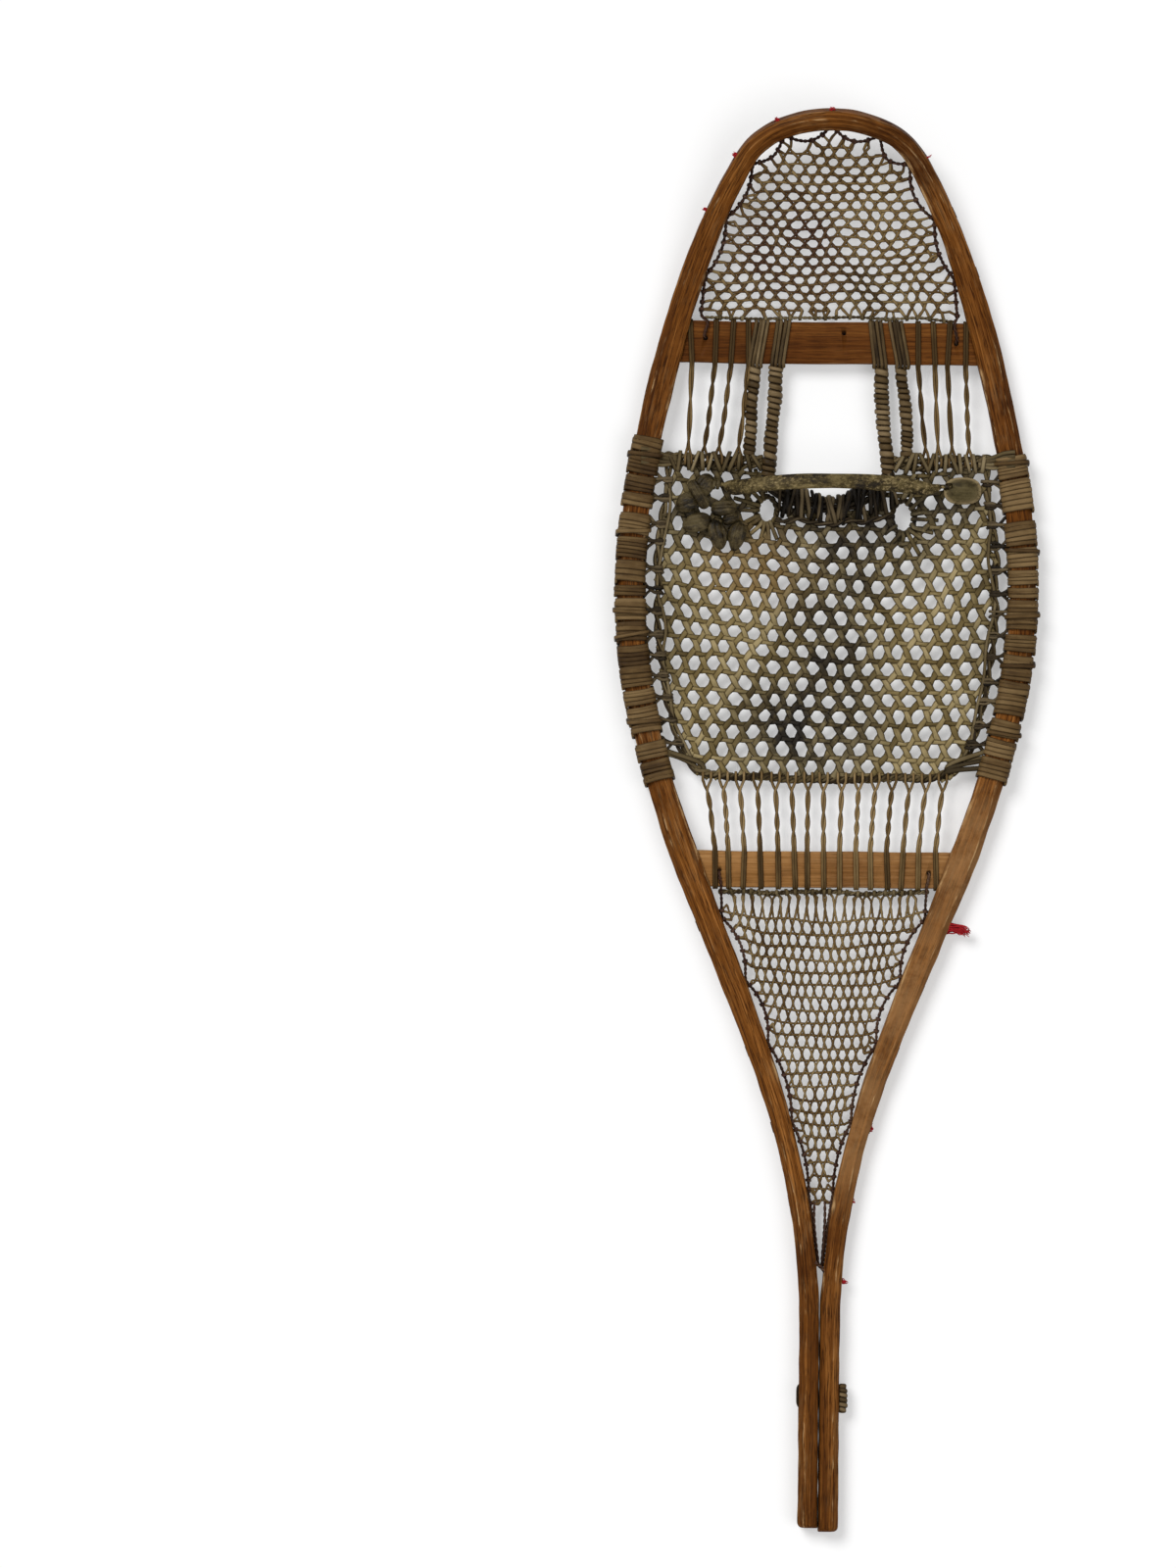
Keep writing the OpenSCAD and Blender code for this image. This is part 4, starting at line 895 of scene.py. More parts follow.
def make_foot_web():
    """Heavy net under the foot, with two eyelets that laces run out from."""
    row, front, corner_x = 12.35, FRONT_Y - 1, TOE_HOLE_HALF + 3
    ys = np.linspace(front, REAR_Y + 0.5, 40)
    side = np.stack([side_x(ys), ys], 1)
    xs = np.linspace(-TOE_CORD_HALF, TOE_CORD_HALF, 15)
    hole = np.stack([xs, toe_cord_line(xs) - 6], 1)
    edge = np.vstack([
        side, (side * (-1, 1))[::-1], [(-corner_x, front), (-TOE_HOLE_HALF, TOE_HOLE_Y)], hole,
        [(TOE_HOLE_HALF, TOE_HOLE_Y), (corner_x, front)],
    ])
    mesh = Strands()

    def plane(x, v):
        y = FRONT_Y - 2 - v * row
        sag = 9.0 * np.clip((y - REAR_Y) / (TOE_CORD_Y - REAR_Y), 0, 1)
        sag = sag * np.clip(1 - ((x - 18) / 122) ** 2, 0, 1)
        return x + drift(x, y, 1.4, 60, 41), y - sag + drift(x, y, 1.1, 75, 42)

    weave(mesh, edge, plane, lambda x, y: WEB_Z, pitch=13.8, row=row, rows=19, reach=128, widths=(3.4, 4.5),
          thick=1.75, tuck=2.4, holes=[(x, y, rx + 3.4, ry + 3.4) for x, y, rx, ry in EYELETS])
    a = np.linspace(0, TURN, 33)
    for (cx, cy, rx, ry), half_turns in zip(EYELETS, EYELET_LACES):
        rim = points(cx + (rx + 2.0) * np.cos(a), cy + (ry + 2.0) * np.sin(a), WEB_Z + 0.4)
        mesh.rope(rim, r=1.3, off=0.9, pitch=9, tone=0.4)
        for heading in half_turns:
            angle = math.pi * heading + rng.uniform(-0.06, 0.06)
            d = np.array((math.cos(angle), math.sin(angle)))
            start = np.array((cx + rx * d[0], cy + ry * d[1]))
            path = []
            for r, z in ((0.4, -1.2), (-0.1, 1.0), (1.4, 3.0), (4.5, 3.2), (rng.uniform(10, 20), -2.2)):
                path.append((*(start + d * r + 0.09 * max(r, 0) * rng.normal(size=2)), WEB_Z + z))
            face = UP - 0.6 * np.array((*d, 0))
            mesh.lace(curve(path, 6), rng.uniform(2.8, 3.6), 1.8, face, rng.uniform(0.35, 0.9))
    nodes = ["foot_web", "foot_web_front_left", "foot_web_front_right"]
    mesh.build("foot_weave", foot_hide, "rawhide", nodes)


# Edge cords, ties and wraps


def make_rear_edge():
    """Rope behind the foot web, whose ends and stays go to the wraps."""
    rear = Strands()
    wraps_x = inner_x(REAR_Y + 10) + WRAP_EDGE
    half = [
        (0, 0, 0), (28, 0.4, 0), (56, 0.8, 0), (78, 2.0, 0), (88, 5.0, 0.5), (96, 10.5, 1.5),
        (wraps_x - 5, 15, 3.0), (wraps_x + 3, 16, 6.0),
    ]
    path = curve(np.vstack([on_side(-1, half[:0:-1]), half]), 12) + (0, REAR_Y, WEB_Z)
    path[:, 1] += drift(path[:, 0], 0, 0.8, 40, 51)
    rear.rope(path[np.abs(path[:, 0]) < 92], r=1.6, off=1.5, pitch=17, plies=3, tone=0.35, sides=8)
    for sx, stays_at in ((-1, (20,)), (1, (8, 14, 22))):
        rear.lace(path[sx * path[:, 0] > 86], 3.4, 2.4, UP, 0.3)
        for y in stays_at:
            foot = inner_x(REAR_Y + y) + WRAP_EDGE
            stay = [
                (84 + 0.1 * y, 0.2 * y, WEB_Z), (88 + 0.1 * y, 3 + 0.4 * y, WEB_Z + 3.4),
                (foot - 5, 2 + 0.8 * y, WEB_Z + 4.4), (foot, y, STAVE_TOP - 3.0),
                (foot + 4, y + 1, STAVE_TOP + 0.4),
            ]
            stay = curve(on_side(sx, stay) + (0, REAR_Y, 0), 6)
            rear.lace(stay, rng.uniform(3.2, 4.2), 2.0, UP, rng.uniform(0.05, 0.6))
    rear.build("rear_selvage", edge_hide, "rawhide", ["rear_edge_cord"])


def make_side_edge(name, sx):
    """Rope along one side of the foot web, and a loose lace beside it."""
    side = Strands()
    ys = np.linspace(FRONT_Y - 4, REAR_Y + 4, 26)
    path = points(sx * (side_x(ys) + drift(ys, 0, 0.9, 45, 52)), ys, WEB_Z + 0.5)
    side.rope(curve(path, 6), r=1.4, off=1.5, pitch=34, tone=0.4, sides=7)
    ys = np.linspace(FRONT_Y - 20, REAR_Y + 14, 16)
    path = points(sx * (side_x(ys) - 2.5 + drift(ys, 9, 2.2, 60, 53 + sx)), ys, WEB_Z + 2.2)
    side.lace(curve(path, 6), 2.6, 1.8, UP, 0.5)
    side.build(f"side_selvage_{name}", edge_hide, "rawhide", [f"side_edge_cord_{name}"])


def make_front_edge(name, sx):
    """Two ropes in front of one side of the foot web, loops around them and stays to the wraps."""
    front = Strands()
    x_end = inner_x(FRONT_Y) - 1.5
    xs = np.linspace(TOE_HOLE_HALF, x_end, 12)
    for off, z in ((-2.4, 0.6), (2.2, 1.4)):
        path = points(sx * xs, FRONT_Y + off + drift(xs, off, 1.0, 30, 55), WEB_Z + z)
        front.rope(curve(path, 6), r=1.55, off=1.25, pitch=15, tone=0.5, sides=7)
    loop_x = np.arange(52, x_end - 5, 5.4)
    a = np.linspace(0, TURN, 17)
    for x in loop_x + rng.uniform(-1.2, 1.2, len(loop_x)):
        lean = rng.uniform(-0.9, 0.9)
        reach = rng.uniform(5.6, 7.2)
        x_loop = sx * (x + lean * 4 * np.cos(a))
        ring = points(x_loop, FRONT_Y - 0.5 + reach * np.cos(a), WEB_Z + 1 + 3.9 * np.sin(a))
        front.lace(ring, rng.uniform(2.6, 3.8), 1.6, tone=rng.uniform(0.3, 0.9))
    for off in (-4.5, -1.2, 2.2, 5.2):
        stay = [
            (x_end - 13, 0.4 * off, WEB_Z + 3.2), (x_end - 3, 0.8 * off, WEB_Z + 5.0),
            (x_end + 5, 2 + off, STAVE_TOP + 0.6), (x_end + 13, 3 + off, STAVE_TOP + 1.7),
        ]
        front.lace(curve(on_side(sx, stay) + (0, FRONT_Y, 0), 8), 3.0, 1.6, UP, rng.uniform(0.1, 0.5))
    front.build(f"front_selvage_{name}", edge_hide, "dark_rawhide", [f"front_edge_cord_{name}"])


def make_ties(name, sx):
    """Crossed dark laces from the wraps to the side edge cord."""
    ties = Strands()
    count = 13
    for y in np.linspace(FRONT_Y - 13, REAR_Y + 24, count) + rng.uniform(-1.8, 1.8, count):
        for k, (a, b) in enumerate(((-4.6, 1.4), (4.4, -1.6), (0.6, 0.2))):
            a, b = a + rng.uniform(-1.2, 1.2), b + rng.uniform(-0.9, 0.9)
            x0, x1 = side_x(y + b), inner_x(y + a) + WRAP_EDGE
            path = on_side(sx, [
                (x1 + 2.2, y + a * 1.1, STAVE_TOP - 0.8), (x1 - 1.6, y + a, STAVE_TOP - 4.0),
                (x1 - 4.0, y + 0.6 * a + 0.4 * b, WEB_Z + 3.2 + k), (x0 + 1.8, y + b, WEB_Z + 3.2),
                (x0 - 2.6, y + b, WEB_Z + 2.4), (x0 - 4.0, y + b * 1.5, WEB_Z - 1.5),
            ])
            ties.lace(curve(path, 5), rng.uniform(2.0, 2.9), 1.7, UP, rng.uniform(0.15, 0.95), sides=7)
    ties.build(f"edge_tie_laces_{name}", dark_hide, "rawhide", [f"edge_ties_{name}"])


def turn_widths(length, low, high):
    """Random lace widths that fill a length, and the place of each turn's middle."""
    widths = []
    while sum(widths) < length - low / 2:
        widths.append(rng.uniform(low, high))
    widths = np.array(widths) * length / sum(widths)
    return widths, np.cumsum(widths) - widths / 2


def wound(s, turns, grow, radii, lowest, loose=0.0):
    """Centres of the stave at s, and a path round it, off its sides by half of grow and by loose."""
    centre, _, out, up = stave_frame(s)
    outline, _ = fillet(box_corners(*(np.array((stave_w(centre[0, 1]), STAVE_H)) + grow)), radii, 5)
    outline = np.vstack([outline, outline[:1]])
    q = at_lengths(turns % 1, lengths(outline) / lengths(outline)[-1], outline)
    q = q * np.atleast_1d(1 + loose / np.abs(outline).max(0).sum())[:, None]
    path = centre + q[:, :1] * out + q[:, 1:] * up
    path[:, 2] = np.maximum(path[:, 2], lowest)
    return centre, path


# Stretches of the wraps, in t, with bare wood between them
WRAPPED = {
    "left": [(233.5, 284), (289, 348), (349.5, 447), (452, 481)],
    "right": [(244, 286), (292, 371), (372, 432), (434, 478)],
}
WRAP_SHADE = {"left": 0.45, "right": 0.65}
# Single turns that lie askew over the wraps, behind the first wrap's front
STRAY_TURNS_AT = np.array((12, 66, 118, 150, 205))


def wrap_bundle(wraps, s, length, sx, shade):
    """Turns of flat lace side by side round the stave, from s on."""
    widths, middle = turn_widths(length, 2.3, 4.8)
    count = len(widths)
    each = np.arange(count) + 0.5
    thick = rng.uniform(1.3, 1.8)
    f = np.linspace(0, count, count * 30)
    tilt = rng.uniform(-1.3, 1.3)
    pinch = 1 - rng.uniform(0.0, 0.07) * (1 + np.cos(TURN * (f - rng.uniform(0, 1))))
    off = (np.interp(f, each, middle) - length / 2) * pinch
    at = s + length / 2 + off + tilt * np.sin(TURN * (f + 0.62))
    turn = np.minimum(f.astype(int), count - 1)
    loose = rng.uniform(0.3, 0.9) + rng.uniform(0, 0.7, count)[turn]
    centre, path = wound(sx * at, f + 0.25, thick, (3.4, 4.2, 3.6, 3.4), thick / 2 + 0.05, loose)
    tone = shade + rng.uniform(-0.17, 0.17) + rng.uniform(-0.14, 0.14, count)[turn]
    lace_w = np.interp(f, each, widths) * 1.08 * pinch
    wraps.lace(path, lace_w, thick, unit(path - centre), tone[:, None], sides=8, square=0.65)


def make_wraps(name, sx):
    """Bundles of flat lace wound round the stave beside the foot, and single turns askew over them."""
    wraps = Strands()
    for t0, t1 in WRAPPED[name]:
        s, end = s_at(t0), s_at(t1)
        while s < end - 1:
            length = min(rng.uniform(9, 19), end - s)
            if end - s - length < 7:
                length = end - s
            wrap_bundle(wraps, s, length, sx, WRAP_SHADE[name])
            s += length
    for t in WRAPPED[name][0][0] + STRAY_TURNS_AT + rng.uniform(-8, 8, len(STRAY_TURNS_AT)):
        f = np.linspace(0.02, 0.62, 24)
        at = s_at(t) + rng.choice((-1, 1)) * rng.uniform(5, 11) * (f - 0.32)
        centre, path = wound(sx * at, f, (5.6, 5.4), (4, 5, 5, 4), 0.9)
        wraps.lace(path, rng.uniform(2.6, 3.6), 1.5, unit(path - centre), rng.uniform(0.2, 0.6), sides=8)
    wraps.build(f"frame_wraps_{name}", wrap_hide, "rawhide", [f"frame_wrap_{name}"])


# Strands over the crossbars


def twisted_pair(mesh, x_web, y_web, x_bar, bar_y, bar_w, toward, half_turns, tone, split):
    """Two laces that hook over the web's edge cord, twist together and lie flat over the crossbar."""
    free = abs(y_web - bar_y) - bar_w / 2
    hook = [(3.2, -1.5), (3.4, 2.6), (0, 4.2), (-3.6, 2.2), (-8, 1.0)]
    start = [(x_web, y_web + toward * a, WEB_Z + z) for a, z in hook]
    u = np.array((0.4, 0.65, 0.88))
    lean = points(x_web + (x_bar - x_web) * u, y_web - toward * free * u, WEB_Z + 1.0 + 2.2 * u)
    over = over_bar(x_bar, bar_y, bar_w, toward, 0.75, rng.uniform(-1.6, 1.6))
    path = resample(curve(np.vstack([start, lean, over]), 10), 1.5)
    s = lengths(path)
    lead, twist_r = 10.5, 0.95
    apart = np.clip(1 - (s - lead) / 7, 0, 1) ** 1.2
    u = np.clip((s - lead - 4) / (free - 9), 0, 1)
    angle = math.pi * (0.25 + half_turns * u) + rng.uniform(-0.3, 0.3) * np.sin(u * 9)
    flat = np.clip((s - free - lead + 8) / 8, 0, 1)
    twist = (1 - flat) * twist_r * np.cos(angle) + flat * 0.9 * (-1) ** half_turns
    for sign in (1, -1):
        ply = path.copy()
        ply[:, 0] += sign * (split * apart + (1 - apart) * twist)
        ply[:, 2] += sign * (1 - apart) * (1 - flat) * twist_r * np.sin(angle)
        face = -toward * np.cross((1.0, 0, 0), headings(ply))
        shade = tone + rng.uniform(-0.15, 0.15) - 0.35 * flat
        mesh.lace(ply, 2.15, 1.85 - flat * 0.5, face, shade[:, None], sides=7)


# Where the front pairs lie on the toe crossbar and hook over the front edge cord
FRONT_PAIRS = {
    "left": ((98, 100), (81.5, 88.5), (70, 78), (57.5, 64)),
    "right": ((64, 70), (76, 79), (85, 89), (98, 101)),
}


def make_strands():
    """Twisted pairs between the foot web and both crossbars."""
    for name, sx in SIDES:
        mesh = Strands()
        for x_bar, x_web in FRONT_PAIRS[name]:
            twisted_pair(mesh, sx * x_web, FRONT_Y + 1, sx * x_bar, TOE_BAR_Y, TOE_BAR_W, -1,
                         rng.integers(2, 5), rng.uniform(0.05, 0.5), split=2.2)
        mesh.build(f"front_pairs_{name}", cord_hide, "dark_rawhide", [f"front_strands_{name}"])
    mesh = Strands()
    for x in np.linspace(-1, 1, 15):
        x_web, x_bar = x * 84 + rng.uniform(-1, 1), x * 79 + rng.uniform(-1.2, 1.2)
        twisted_pair(mesh, x_web, REAR_Y + 0.5, x_bar, HEEL_BAR_Y, HEEL_BAR_W, 1,
                     rng.integers(3, 5), rng.uniform(0.3, 0.8), split=2.9)
    mesh.build("rear_pairs", cord_hide, "dark_rawhide", ["rear_strands"])


def whipping(mesh, path, r, low, high, thick, ends=1.0):
    """Uneven turns of lace wound tight round a path, with a share of the radius at its ends."""
    path = resample(path, 0.5)
    s = lengths(path)
    d = headings(path)
    side = carried(d)
    top = np.cross(side, d)
    widths, middle = turn_widths(s[-1], low, high)
    count = len(widths)
    each = np.arange(count) + 0.5
    f = np.linspace(0, count, count * 18)
    turn = np.minimum(f.astype(int), count - 1)
    at = np.interp(f, each, middle)
    centre, side, top = (at_lengths(at, s, rows) for rows in (path, side, top))
    a = (TURN * f)[:, None]
    out = np.cos(a) * side + np.sin(a) * top
    full = np.sqrt(1 - (1 - ends**2) * (2 * at / s[-1] - 1) ** 2)
    swell = r * full * (1 + rng.uniform(-0.14, 0.14, count)[turn])
    tone = rng.uniform(0.25, 0.8, count)[turn]
    lace_w = np.interp(f, each, widths)
    mesh.lace(centre + swell[:, None] * out, lace_w, thick, out, tone[:, None], sides=8, square=0.9)


# Cords beside the toe hole: across at the crossbar and at the web, along at the web, radius of the wrap
HOLE_CORDS = (("inner", 36.5, 43.0, TOE_HOLE_Y, 3.9), ("outer", 52.7, 57.5, FRONT_Y + 4, 3.3))


def make_hole_cord(kind, x_bar, x_web, y_web, r, name, sx):
    """A wrapped cord beside the toe hole, flat where it passes over the crossbar."""
    core, wrap = Strands(), Strands()
    near = TOE_BAR_Y - TOE_BAR_W / 2
    slant = -sx * rng.uniform(3.0, 6.0)
    for off in (-4.0, -1.3, 1.4, 4.1):
        free = on_side(sx, [(x_web + off * 0.3, y_web, WEB_Z), (x_bar + off * 0.3, near - 9, WEB_Z + 1.5)])
        lean = slant + rng.uniform(-0.6, 0.6)
        over = over_bar(sx * (x_bar + off), TOE_BAR_Y, TOE_BAR_W, -1, 0.8, lean)
        route = curve(np.vstack([free, over]), 10)
        core.lace(route, 2.8, 1.4, np.cross((1.0, 0, 0), headings(route)), rng.uniform(0.1, 0.6), sides=8)
    core.build(f"hole_cord_{kind}_{name}", whip_hide, "dark_rawhide", [f"toe_hole_cord_{kind}_{name}"])
    a, b = on_side(sx, [(x_web, y_web, WEB_Z + 0.3), (x_bar, near - 1.5, WEB_Z + 1.6)])
    u = np.linspace(0, 1, 20)[:, None]
    wobble = drift(u * 80, sx * 40 + r * 30, 1.0, 40, 71) * (1.0, 0, 0)
    whipping(wrap, a + (b - a) * u + wobble, r, low=3.2, high=5.6, thick=2.7)
    wrap.build(f"hole_whip_{kind}_{name}", whip_hide, "rawhide", [f"toe_hole_wrap_{kind}_{name}"])


def loop_foot(x):
    """How far back the loops around the toe cord reach."""
    behind, bend = 13, 6.5
    return TOE_CORD_Y - behind + bend * (np.asarray(x) / TOE_CORD_HALF) ** 2


def make_toe_cord():
    """Bundle of laces behind the toe hole, with dark loops around it and a rope through their ends."""
    cord, loops = Strands(), Strands()
    xs = np.linspace(-TOE_CORD_HALF, TOE_CORD_HALF, 24)
    plies = 7
    for i in range(plies):
        a = TURN * i / plies
        y = toe_cord_line(xs) + 3.8 * math.cos(a) + drift(xs, i * 9, 0.6, 20, 81)
        path = curve(points(xs, y, WEB_Z + 0.6 + 2.6 * math.sin(a)), 4)
        cord.lace(path, 3.2, 2.6, tone=rng.uniform(0.2, 0.6), sides=7)
    cord.build("toe_cord_bundle", dark_hide, "dark_rawhide", ["toe_cord"])
    left, right = EYELETS[0][0] + 9, EYELETS[1][0] - 9
    count = 32
    a = np.linspace(0, TURN, 29)
    back = (1 - np.cos(a)) / 2
    for x in np.linspace(left, right, count) + rng.uniform(-1.1, 1.1, count):
        ahead = rng.uniform(5.4, 7.4) + 3.2 * np.clip((abs(x - 4) - 9) / 6, 0, 1)
        behind = toe_cord_line(x) - loop_foot(x) + rng.uniform(-3.5, 2.0) - 5 * (abs(x - 5) / 40) ** 4
        lean = rng.uniform(-6.5, 6.5)
        path = points(
            x + lean * back + rng.uniform(-0.8, 0.8) * np.sin(2 * a),
            toe_cord_line(x) + ahead - (ahead + behind) * back,
            WEB_Z + 0.8 - 1.8 * back**3 + rng.uniform(4.4, 6.2) * np.sin(a),
        )
        w, thick, tone = rng.uniform(2.4, 3.5), rng.uniform(1.9, 2.6), rng.uniform(0.0, 1.05) ** 1.6
        loops.lace(path, w, thick, tone=tone, sides=8, square=0.9)
    xs = np.linspace(left - 2, right + 2, 20)
    row = curve(points(xs, loop_foot(xs) + drift(xs, 0, 1.6, 25, 82), WEB_Z + 1.8), 4)
    loops.rope(row, r=1.25, off=1.0, pitch=21, tone=0.5, sides=7)
    loops.build("toe_cord_loops", dark_hide, "rawhide", ["toe_cord_wrap"])


# Tail, strap and tufts


def make_tail_lashing():
    """Two laces on the left stave's face, and the lashing's knot on the right one's."""
    lace, knot = Strands(), Strands()
    face_x, half = TAIL_X + STAVE_W[-1][1] / 2, 8.5
    y = np.linspace(-half, half, 13)
    for z in (-1.6, 1.6):
        path = points(-face_x - 0.9 + 2.4 * (np.abs(y) / half) ** 6, LASHING_Y + y, WEB_Z + z)
        lace.lace(path, 3.4, 1.8, (-1.0, 0, 0), 0.3)
    lace.build("tail_lace", whip_hide, "rawhide", ["tail_lashing"])
    spine = points(face_x + 2.4, np.linspace(LASHING_Y + 9, LASHING_Y - 12, 9), WEB_Z)
    whipping(knot, spine, 2.9, low=2.6, high=4.0, thick=2.2, ends=0.15)
    knot.lace(spine, 3.2, 4.0, tone=0.4)
    knot.build("tail_lace_knot", whip_hide, "rawhide", ["tail_knot"])


# Along the strap from the left, at shares of its length: how wide it is, and how far it is rubbed
STRAP_BREADTH = [(0, 11.8), (0.15, 12.4), (0.5, 10.6), (0.75, 11.4), (1, 9.5)]
STRAP_WEAR = [(0, 0.2), (0.15, 0.5), (0.28, 0.7), (0.42, 0.2), (0.6, 0.3), (0.72, 0.7), (0.9, 1), (1, 1)]


def make_strap():
    """Leather strap that arches over the toe, with rolled ends that turn in the keeper and the tab."""
    strap = Strands()
    u = np.linspace(0, 1, 90)
    from_top = np.abs(2 * u - 1)
    ease = np.clip(np.minimum(u, 1 - u) / 0.06, 0, 1)
    arch = points(
        -STRAP_LEFT + (STRAP_LEFT + STRAP_RIGHT) * u, STRAP_Y + (2.6 - 6.5 * from_top**2.2) * ease,
        PIVOT_Z + STRAP_RISE * (1 - from_top**3),
    )
    pin_len, pin_w = 7.5, 3.0
    pin = pin_len * np.array((0.25, 0.6, 1))
    left, right = (points(x, STRAP_Y, PIVOT_Z) for x in (-STRAP_LEFT - pin[::-1], STRAP_RIGHT + pin))
    path = np.vstack([left, arch, right])
    v = np.concatenate([np.zeros(len(left)), u, np.ones(len(right))])
    ends = np.clip(np.minimum(v / 0.04, (1 - v) / 0.1), 0, 1) ** 0.6
    broad = np.interp(v, *zip(*STRAP_BREADTH)) + drift(v * 100, 0, 0.4, 40, 91)
    face = np.cross((0, 1.0, 0), headings(path)) * -1
    face[:, 1] += 0.35 * np.sin(v * 5 + 0.4)
    worn = np.interp(v, *zip(*STRAP_WEAR))[:, None]
    strap.lace(path, pin_w + (broad - pin_w) * ends, pin_w + 1.4 * ends, face, worn, sides=24, square=0.8)
    strap.build("strap_leather", strap_hide, "leather", ["toe_strap"], body="toe_strap")


def make_keeper():
    """Loop of the surplus strap that the rolled left end turns in."""
    keeper = Strands()
    a = np.linspace(0, TURN, 33)
    for off in (7.2, 4.4):
        x = -STRAP_LEFT - off + 0.5 * np.cos(a)
        path = points(x, STRAP_Y + 3.0 * np.cos(a), PIVOT_Z + 2.9 * np.sin(a))
        keeper.lace(path, 2.7, 1.5, points(0, np.cos(a), np.sin(a)), 0.5, sides=8)
    keeper.build("strap_loop", loop_hide, "leather", ["strap_keeper"])


# Rings of the domed tab: share of its outline, height above its base, how far it is rubbed
TAB_RINGS = [
    (0.05, 0.2, 0), (0.5, 0.1, 0), (0.97, 0.0, 1), (1.0, 0.9, 1), (0.985, 1.9, 1), (0.93, 2.7, 0.8),
    (0.8, 3.8, 0.15), (0.6, 5.0, 0), (0.35, 5.9, 0), (0.05, 6.2, 0),
]


def make_tab():
    """Oval leather tab, domed over the strap's right end and bored for it."""
    tab, bore = Strands(), Strands()
    cx, cy, length, width = STRAP_RIGHT + 15.7, STRAP_Y - 3.0, 27.0, 19.5
    a = np.linspace(0, TURN, 49)[:-1]
    x, y = length / 2 * powered(np.cos(a), 0.8), width / 2 * powered(np.sin(a), 0.8)
    base = WEB_Z + 2.3
    rings = np.array([
        points(cx + r * x, cy + r * y, base + z + drift(r * x, r * y, 0.15, 12, 95))
        for r, z, _ in TAB_RINGS
    ])
    rub = np.array([rubbed for _, _, rubbed in TAB_RINGS])[:, None]
    tab.skin(rings[:, ::-1], ((rings - (cx, cy, 0)) * MM)[:, ::-1], rub)
    piece = tab.build("strap_disc", tab_hide, "leather", ["strap_tab"])
    bore_path = points(np.array((STRAP_RIGHT - 4, STRAP_RIGHT + 8.2)), STRAP_Y, PIVOT_Z)
    bore.lace(bore_path, 4.8, 4.2, UP, sides=16, square=1.0)
    cut_out(piece, bore)


# Leather loops left of the strap: across, along, height above the web, turn in degrees, length, width
# and how blunt the tip is
LEAVES = [
    (-88.2, 240.5, 2.0, 40, 16, 14, 2.8), (-100.0, 228.1, 2.5, 15, 16.5, 14, 2.8),
    (-92.4, 233.6, 5.5, -63, 22, 8.5, 7.0), (-93.2, 213.6, 3.0, 5, 20.5, 14, 2.4),
    (-74.2, 224.2, 3.0, -3, 17, 11.5, 5.0), (-69.5, 216.5, 2.0, 10, 10, 8, 4.0),
    (-78.0, 205.2, 3.0, 97, 21, 14, 1.5), (-64.8, 204.0, 3.0, 70, 20.5, 13, 1.4),
]
LEAF_ORDER = (4, 2, 0, 1, 3, 6, 5, 7)  # the way the strap runs on below its loops
LEAF_CREASES = np.array(((-0.1, 0.5), (-0.5, 0.15), (-0.3, 0.35)))  # pairs to choose from, across a loop


def make_leaves():
    """Surplus strap laced into the web: bunched loops with creases along them."""
    leaves = Strands()
    u = np.linspace(-1, 1, 33)
    edge_t, full_t, full_tip = 1.6, 8.0, 2.8
    for x, y, z, turn, length, width, tip in LEAVES:
        a = math.radians(turn)
        along, bend = length / 2 * u, 0.06 * width * np.sin(2.2 * u)
        c, s = math.cos(a), math.sin(a)
        arch = points(along * c - bend * s, along * s + bend * c, 3.2 * (1 - u**2))
        path = arch + (x, y, WEB_Z + z)
        full = np.clip(1 - np.abs(u) ** np.where(u < 0, tip, max(tip, full_tip)), 0.02, 1) ** 0.6
        tilt = UP + 0.2 * rng.normal(size=3)
        creases = LEAF_CREASES[rng.integers(0, 3)] + rng.uniform(-0.1, 0.1)
        leaves.lace(path, edge_t + (width - edge_t) * full, edge_t + (full_t - edge_t) * full, tilt,
                    rng.uniform(0.1, 0.5), sides=48, square=1.0, creases=creases)
    run = curve([(LEAVES[i][0], LEAVES[i][1], WEB_Z + 2.4) for i in LEAF_ORDER], 10)
    leaves.lace(run, 7.0, 2.6, UP, 0.3, sides=16)
    leaves.build("strap_leaves", loop_hide, "leather", ["strap_lacing"])


def tuft(mesh, s, count, reach, spread, curl, w):
    """Loose fibres that stand out of the stave, drawn together towards their tips."""
    base = on_stave(s, 0.2)
    _, along, out, up = stave_frame(s)
    u = np.linspace(0, 1, 13)[:, None]
    fibre_w = w * (1.15 - 0.6 * u[:, 0])
    for _ in range(count):
        length = reach * rng.uniform(0.55, 1.0)
        off = along * rng.normal(0, spread) + up * rng.normal(0, spread)
        wobble = rng.uniform(0.02, 0.17) * reach * np.sin(u * rng.uniform(3, 8) + rng.uniform(0, 6)) * u
        path = base + (length * u - 1.5) * out + off * (1 - 0.5 * u) + wobble * along
        path = path + along * curl * np.sin(2.6 * u * length / reach) - up * 0.4 * curl * u**2
        mesh.lace(path, fibre_w, fibre_w, sides=5)


def make_tufts():
    """Ends of red wool at some lanyard stitches."""
    wool = Strands()
    big_t, *_, last_but_one_t, last_t = HEEL_STITCHES_AT
    speck_t = 836
    for s in TOE_STITCHES[:4]:
        tuft(wool, -s, count=18, reach=4.4, spread=1.1, curl=0.3, w=0.8)
    tuft(wool, TOE_STITCHES[2], count=4, reach=6.0, spread=0.4, curl=0.5, w=0.6)
    for t, reach in ((last_but_one_t, 3.4), (last_t, 3.4), (speck_t, 6.0)):
        tuft(wool, s_at(t), count=18, reach=reach, spread=1.3, curl=0.2, w=0.9)
    tuft(wool, s_at(big_t), count=90, reach=17.0, spread=1.5, curl=-2.6, w=0.9)
    wool.build("tufts", red_wool, "wool", ["wool_tufts"])


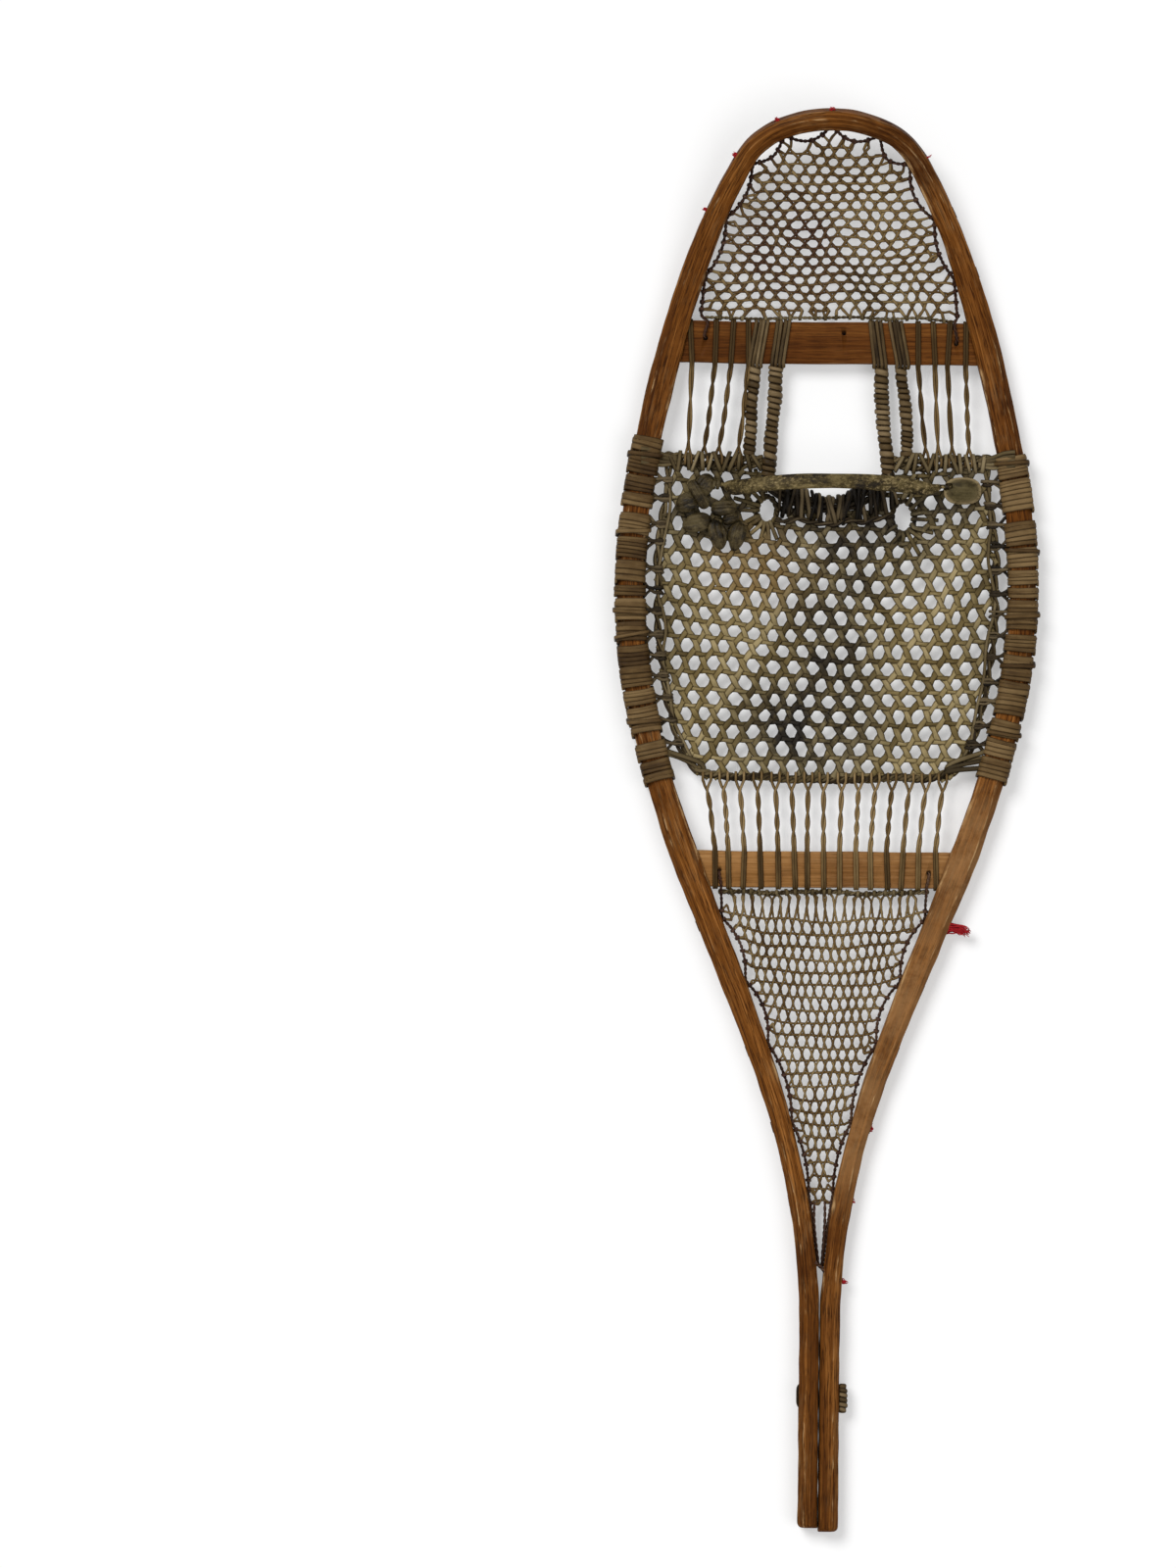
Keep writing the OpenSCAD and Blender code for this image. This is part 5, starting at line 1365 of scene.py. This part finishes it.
make_frame()
make_bar("toe_bar", "toe_crossbar", toe_ash, TOE_BAR_Y, TOE_BAR_W, TOE_HOLES)
make_bar("heel_bar", "heel_crossbar", heel_ash, HEEL_BAR_Y, HEEL_BAR_W, HEEL_HOLES)
make_toe_web()
make_heel_web()
make_foot_web()
make_rear_edge()
for name, sx in SIDES:
    make_side_edge(name, sx)
    make_front_edge(name, sx)
for name, sx in SIDES:
    make_ties(name, sx)
for name, sx in SIDES:
    make_wraps(name, sx)
make_strands()
for hole_cord in HOLE_CORDS:
    for name, sx in SIDES:
        make_hole_cord(*hole_cord, name, sx)
make_toe_cord()
make_tail_lashing()
make_strap()
make_keeper()
make_tab()
make_leaves()
make_tufts()


# Floor, light and camera


def seen_directly(tree):
    """1 for the rays that show the stage, 0 for those that light the shoe."""
    path = tree.nodes.new("ShaderNodeLightPath")
    seen = path.outputs["Is Camera Ray"]
    for ray in ("Is Glossy Ray", "Is Transmission Ray"):
        either = tree.nodes.new("ShaderNodeMath")
        either.operation = "MAXIMUM"
        tree.links.new(seen, either.inputs[0])
        tree.links.new(path.outputs[ray], either.inputs[1])
        seen = either.outputs[0]
    return seen


def make_floor():
    """White floor just below the shoe, which keeps a soft shadow."""
    half, below, glow = 4.0, 0.001, 0.35
    mesh = bpy.data.meshes.new("floor")
    mesh.from_pydata([(x, y, 0) for x, y in box_corners(2 * half, 2 * half)], [], [(0, 1, 2, 3)])
    floor = bpy.data.objects.new("floor", mesh)
    floor.location.z = -below
    bpy.context.scene.collection.objects.link(floor)
    sh = Shader("pale_floor", 0.9)
    sh.surface.inputs["Base Color"].default_value = (0.68, 0.68, 0.68, 1)
    sh.surface.inputs["Specular IOR Level"].default_value = 0.0
    sh.surface.inputs["Emission Color"].default_value = (1, 1, 1, 1)
    sh.put(sh.surface.inputs["Emission Strength"], sh.math("MULTIPLY", seen_directly(sh.tree), glow))
    mesh.materials.append(sh.material)


# Lamps: where each shines from, its spread in degrees and its strength
LAMPS = (("key", (-1.3, 1.5, 2.6), 28, 1.95), ("fill", (1.5, -0.8, 2.8), 40, 0.75))


def make_light():
    """White surroundings, dimmer as a light than as a background, and two soft lamps."""
    world = bpy.data.worlds.new("studio")
    world.use_nodes = True
    tree = world.node_tree
    background = tree.nodes["Background"].inputs
    background["Color"].default_value = (1, 1, 1, 1)
    level = tree.nodes.new("ShaderNodeMapRange")
    tree.links.new(seen_directly(tree), level.inputs["Value"])
    level.inputs["To Min"].default_value = 0.3
    level.inputs["To Max"].default_value = 1.0
    tree.links.new(level.outputs["Result"], background["Strength"])
    bpy.context.scene.world = world
    for name, (x, y, z), spread, power in LAMPS:
        lamp = bpy.data.lights.new(name, "SUN")
        lamp.angle = math.radians(spread)
        lamp.energy = power
        obj = bpy.data.objects.new(name, lamp)
        obj.location = (x, y, z)
        obj.rotation_euler = (math.atan2(math.hypot(x, y), z), 0, math.atan2(-y, -x) - math.pi / 2)
        bpy.context.scene.collection.objects.link(obj)


def make_camera():
    """Straight above, with the shoe to the right of the picture's middle as in the photograph."""
    distance, frame_height = 8.0, 1.123
    aim_x, aim_y, roll = -0.1695, 0.0257, 0.0096
    cam = bpy.data.cameras.new("camera")
    cam.sensor_width = 36.0
    cam.lens = cam.sensor_width * distance / frame_height
    obj = bpy.data.objects.new("camera", cam)
    obj.location = (aim_x, aim_y, WEB_Z * MM + distance)
    obj.rotation_euler = (0, 0, roll)
    bpy.context.scene.collection.objects.link(obj)
    bpy.context.scene.camera = obj


make_floor()
make_light()
make_camera()
bpy.context.scene.view_settings.view_transform = "Standard"
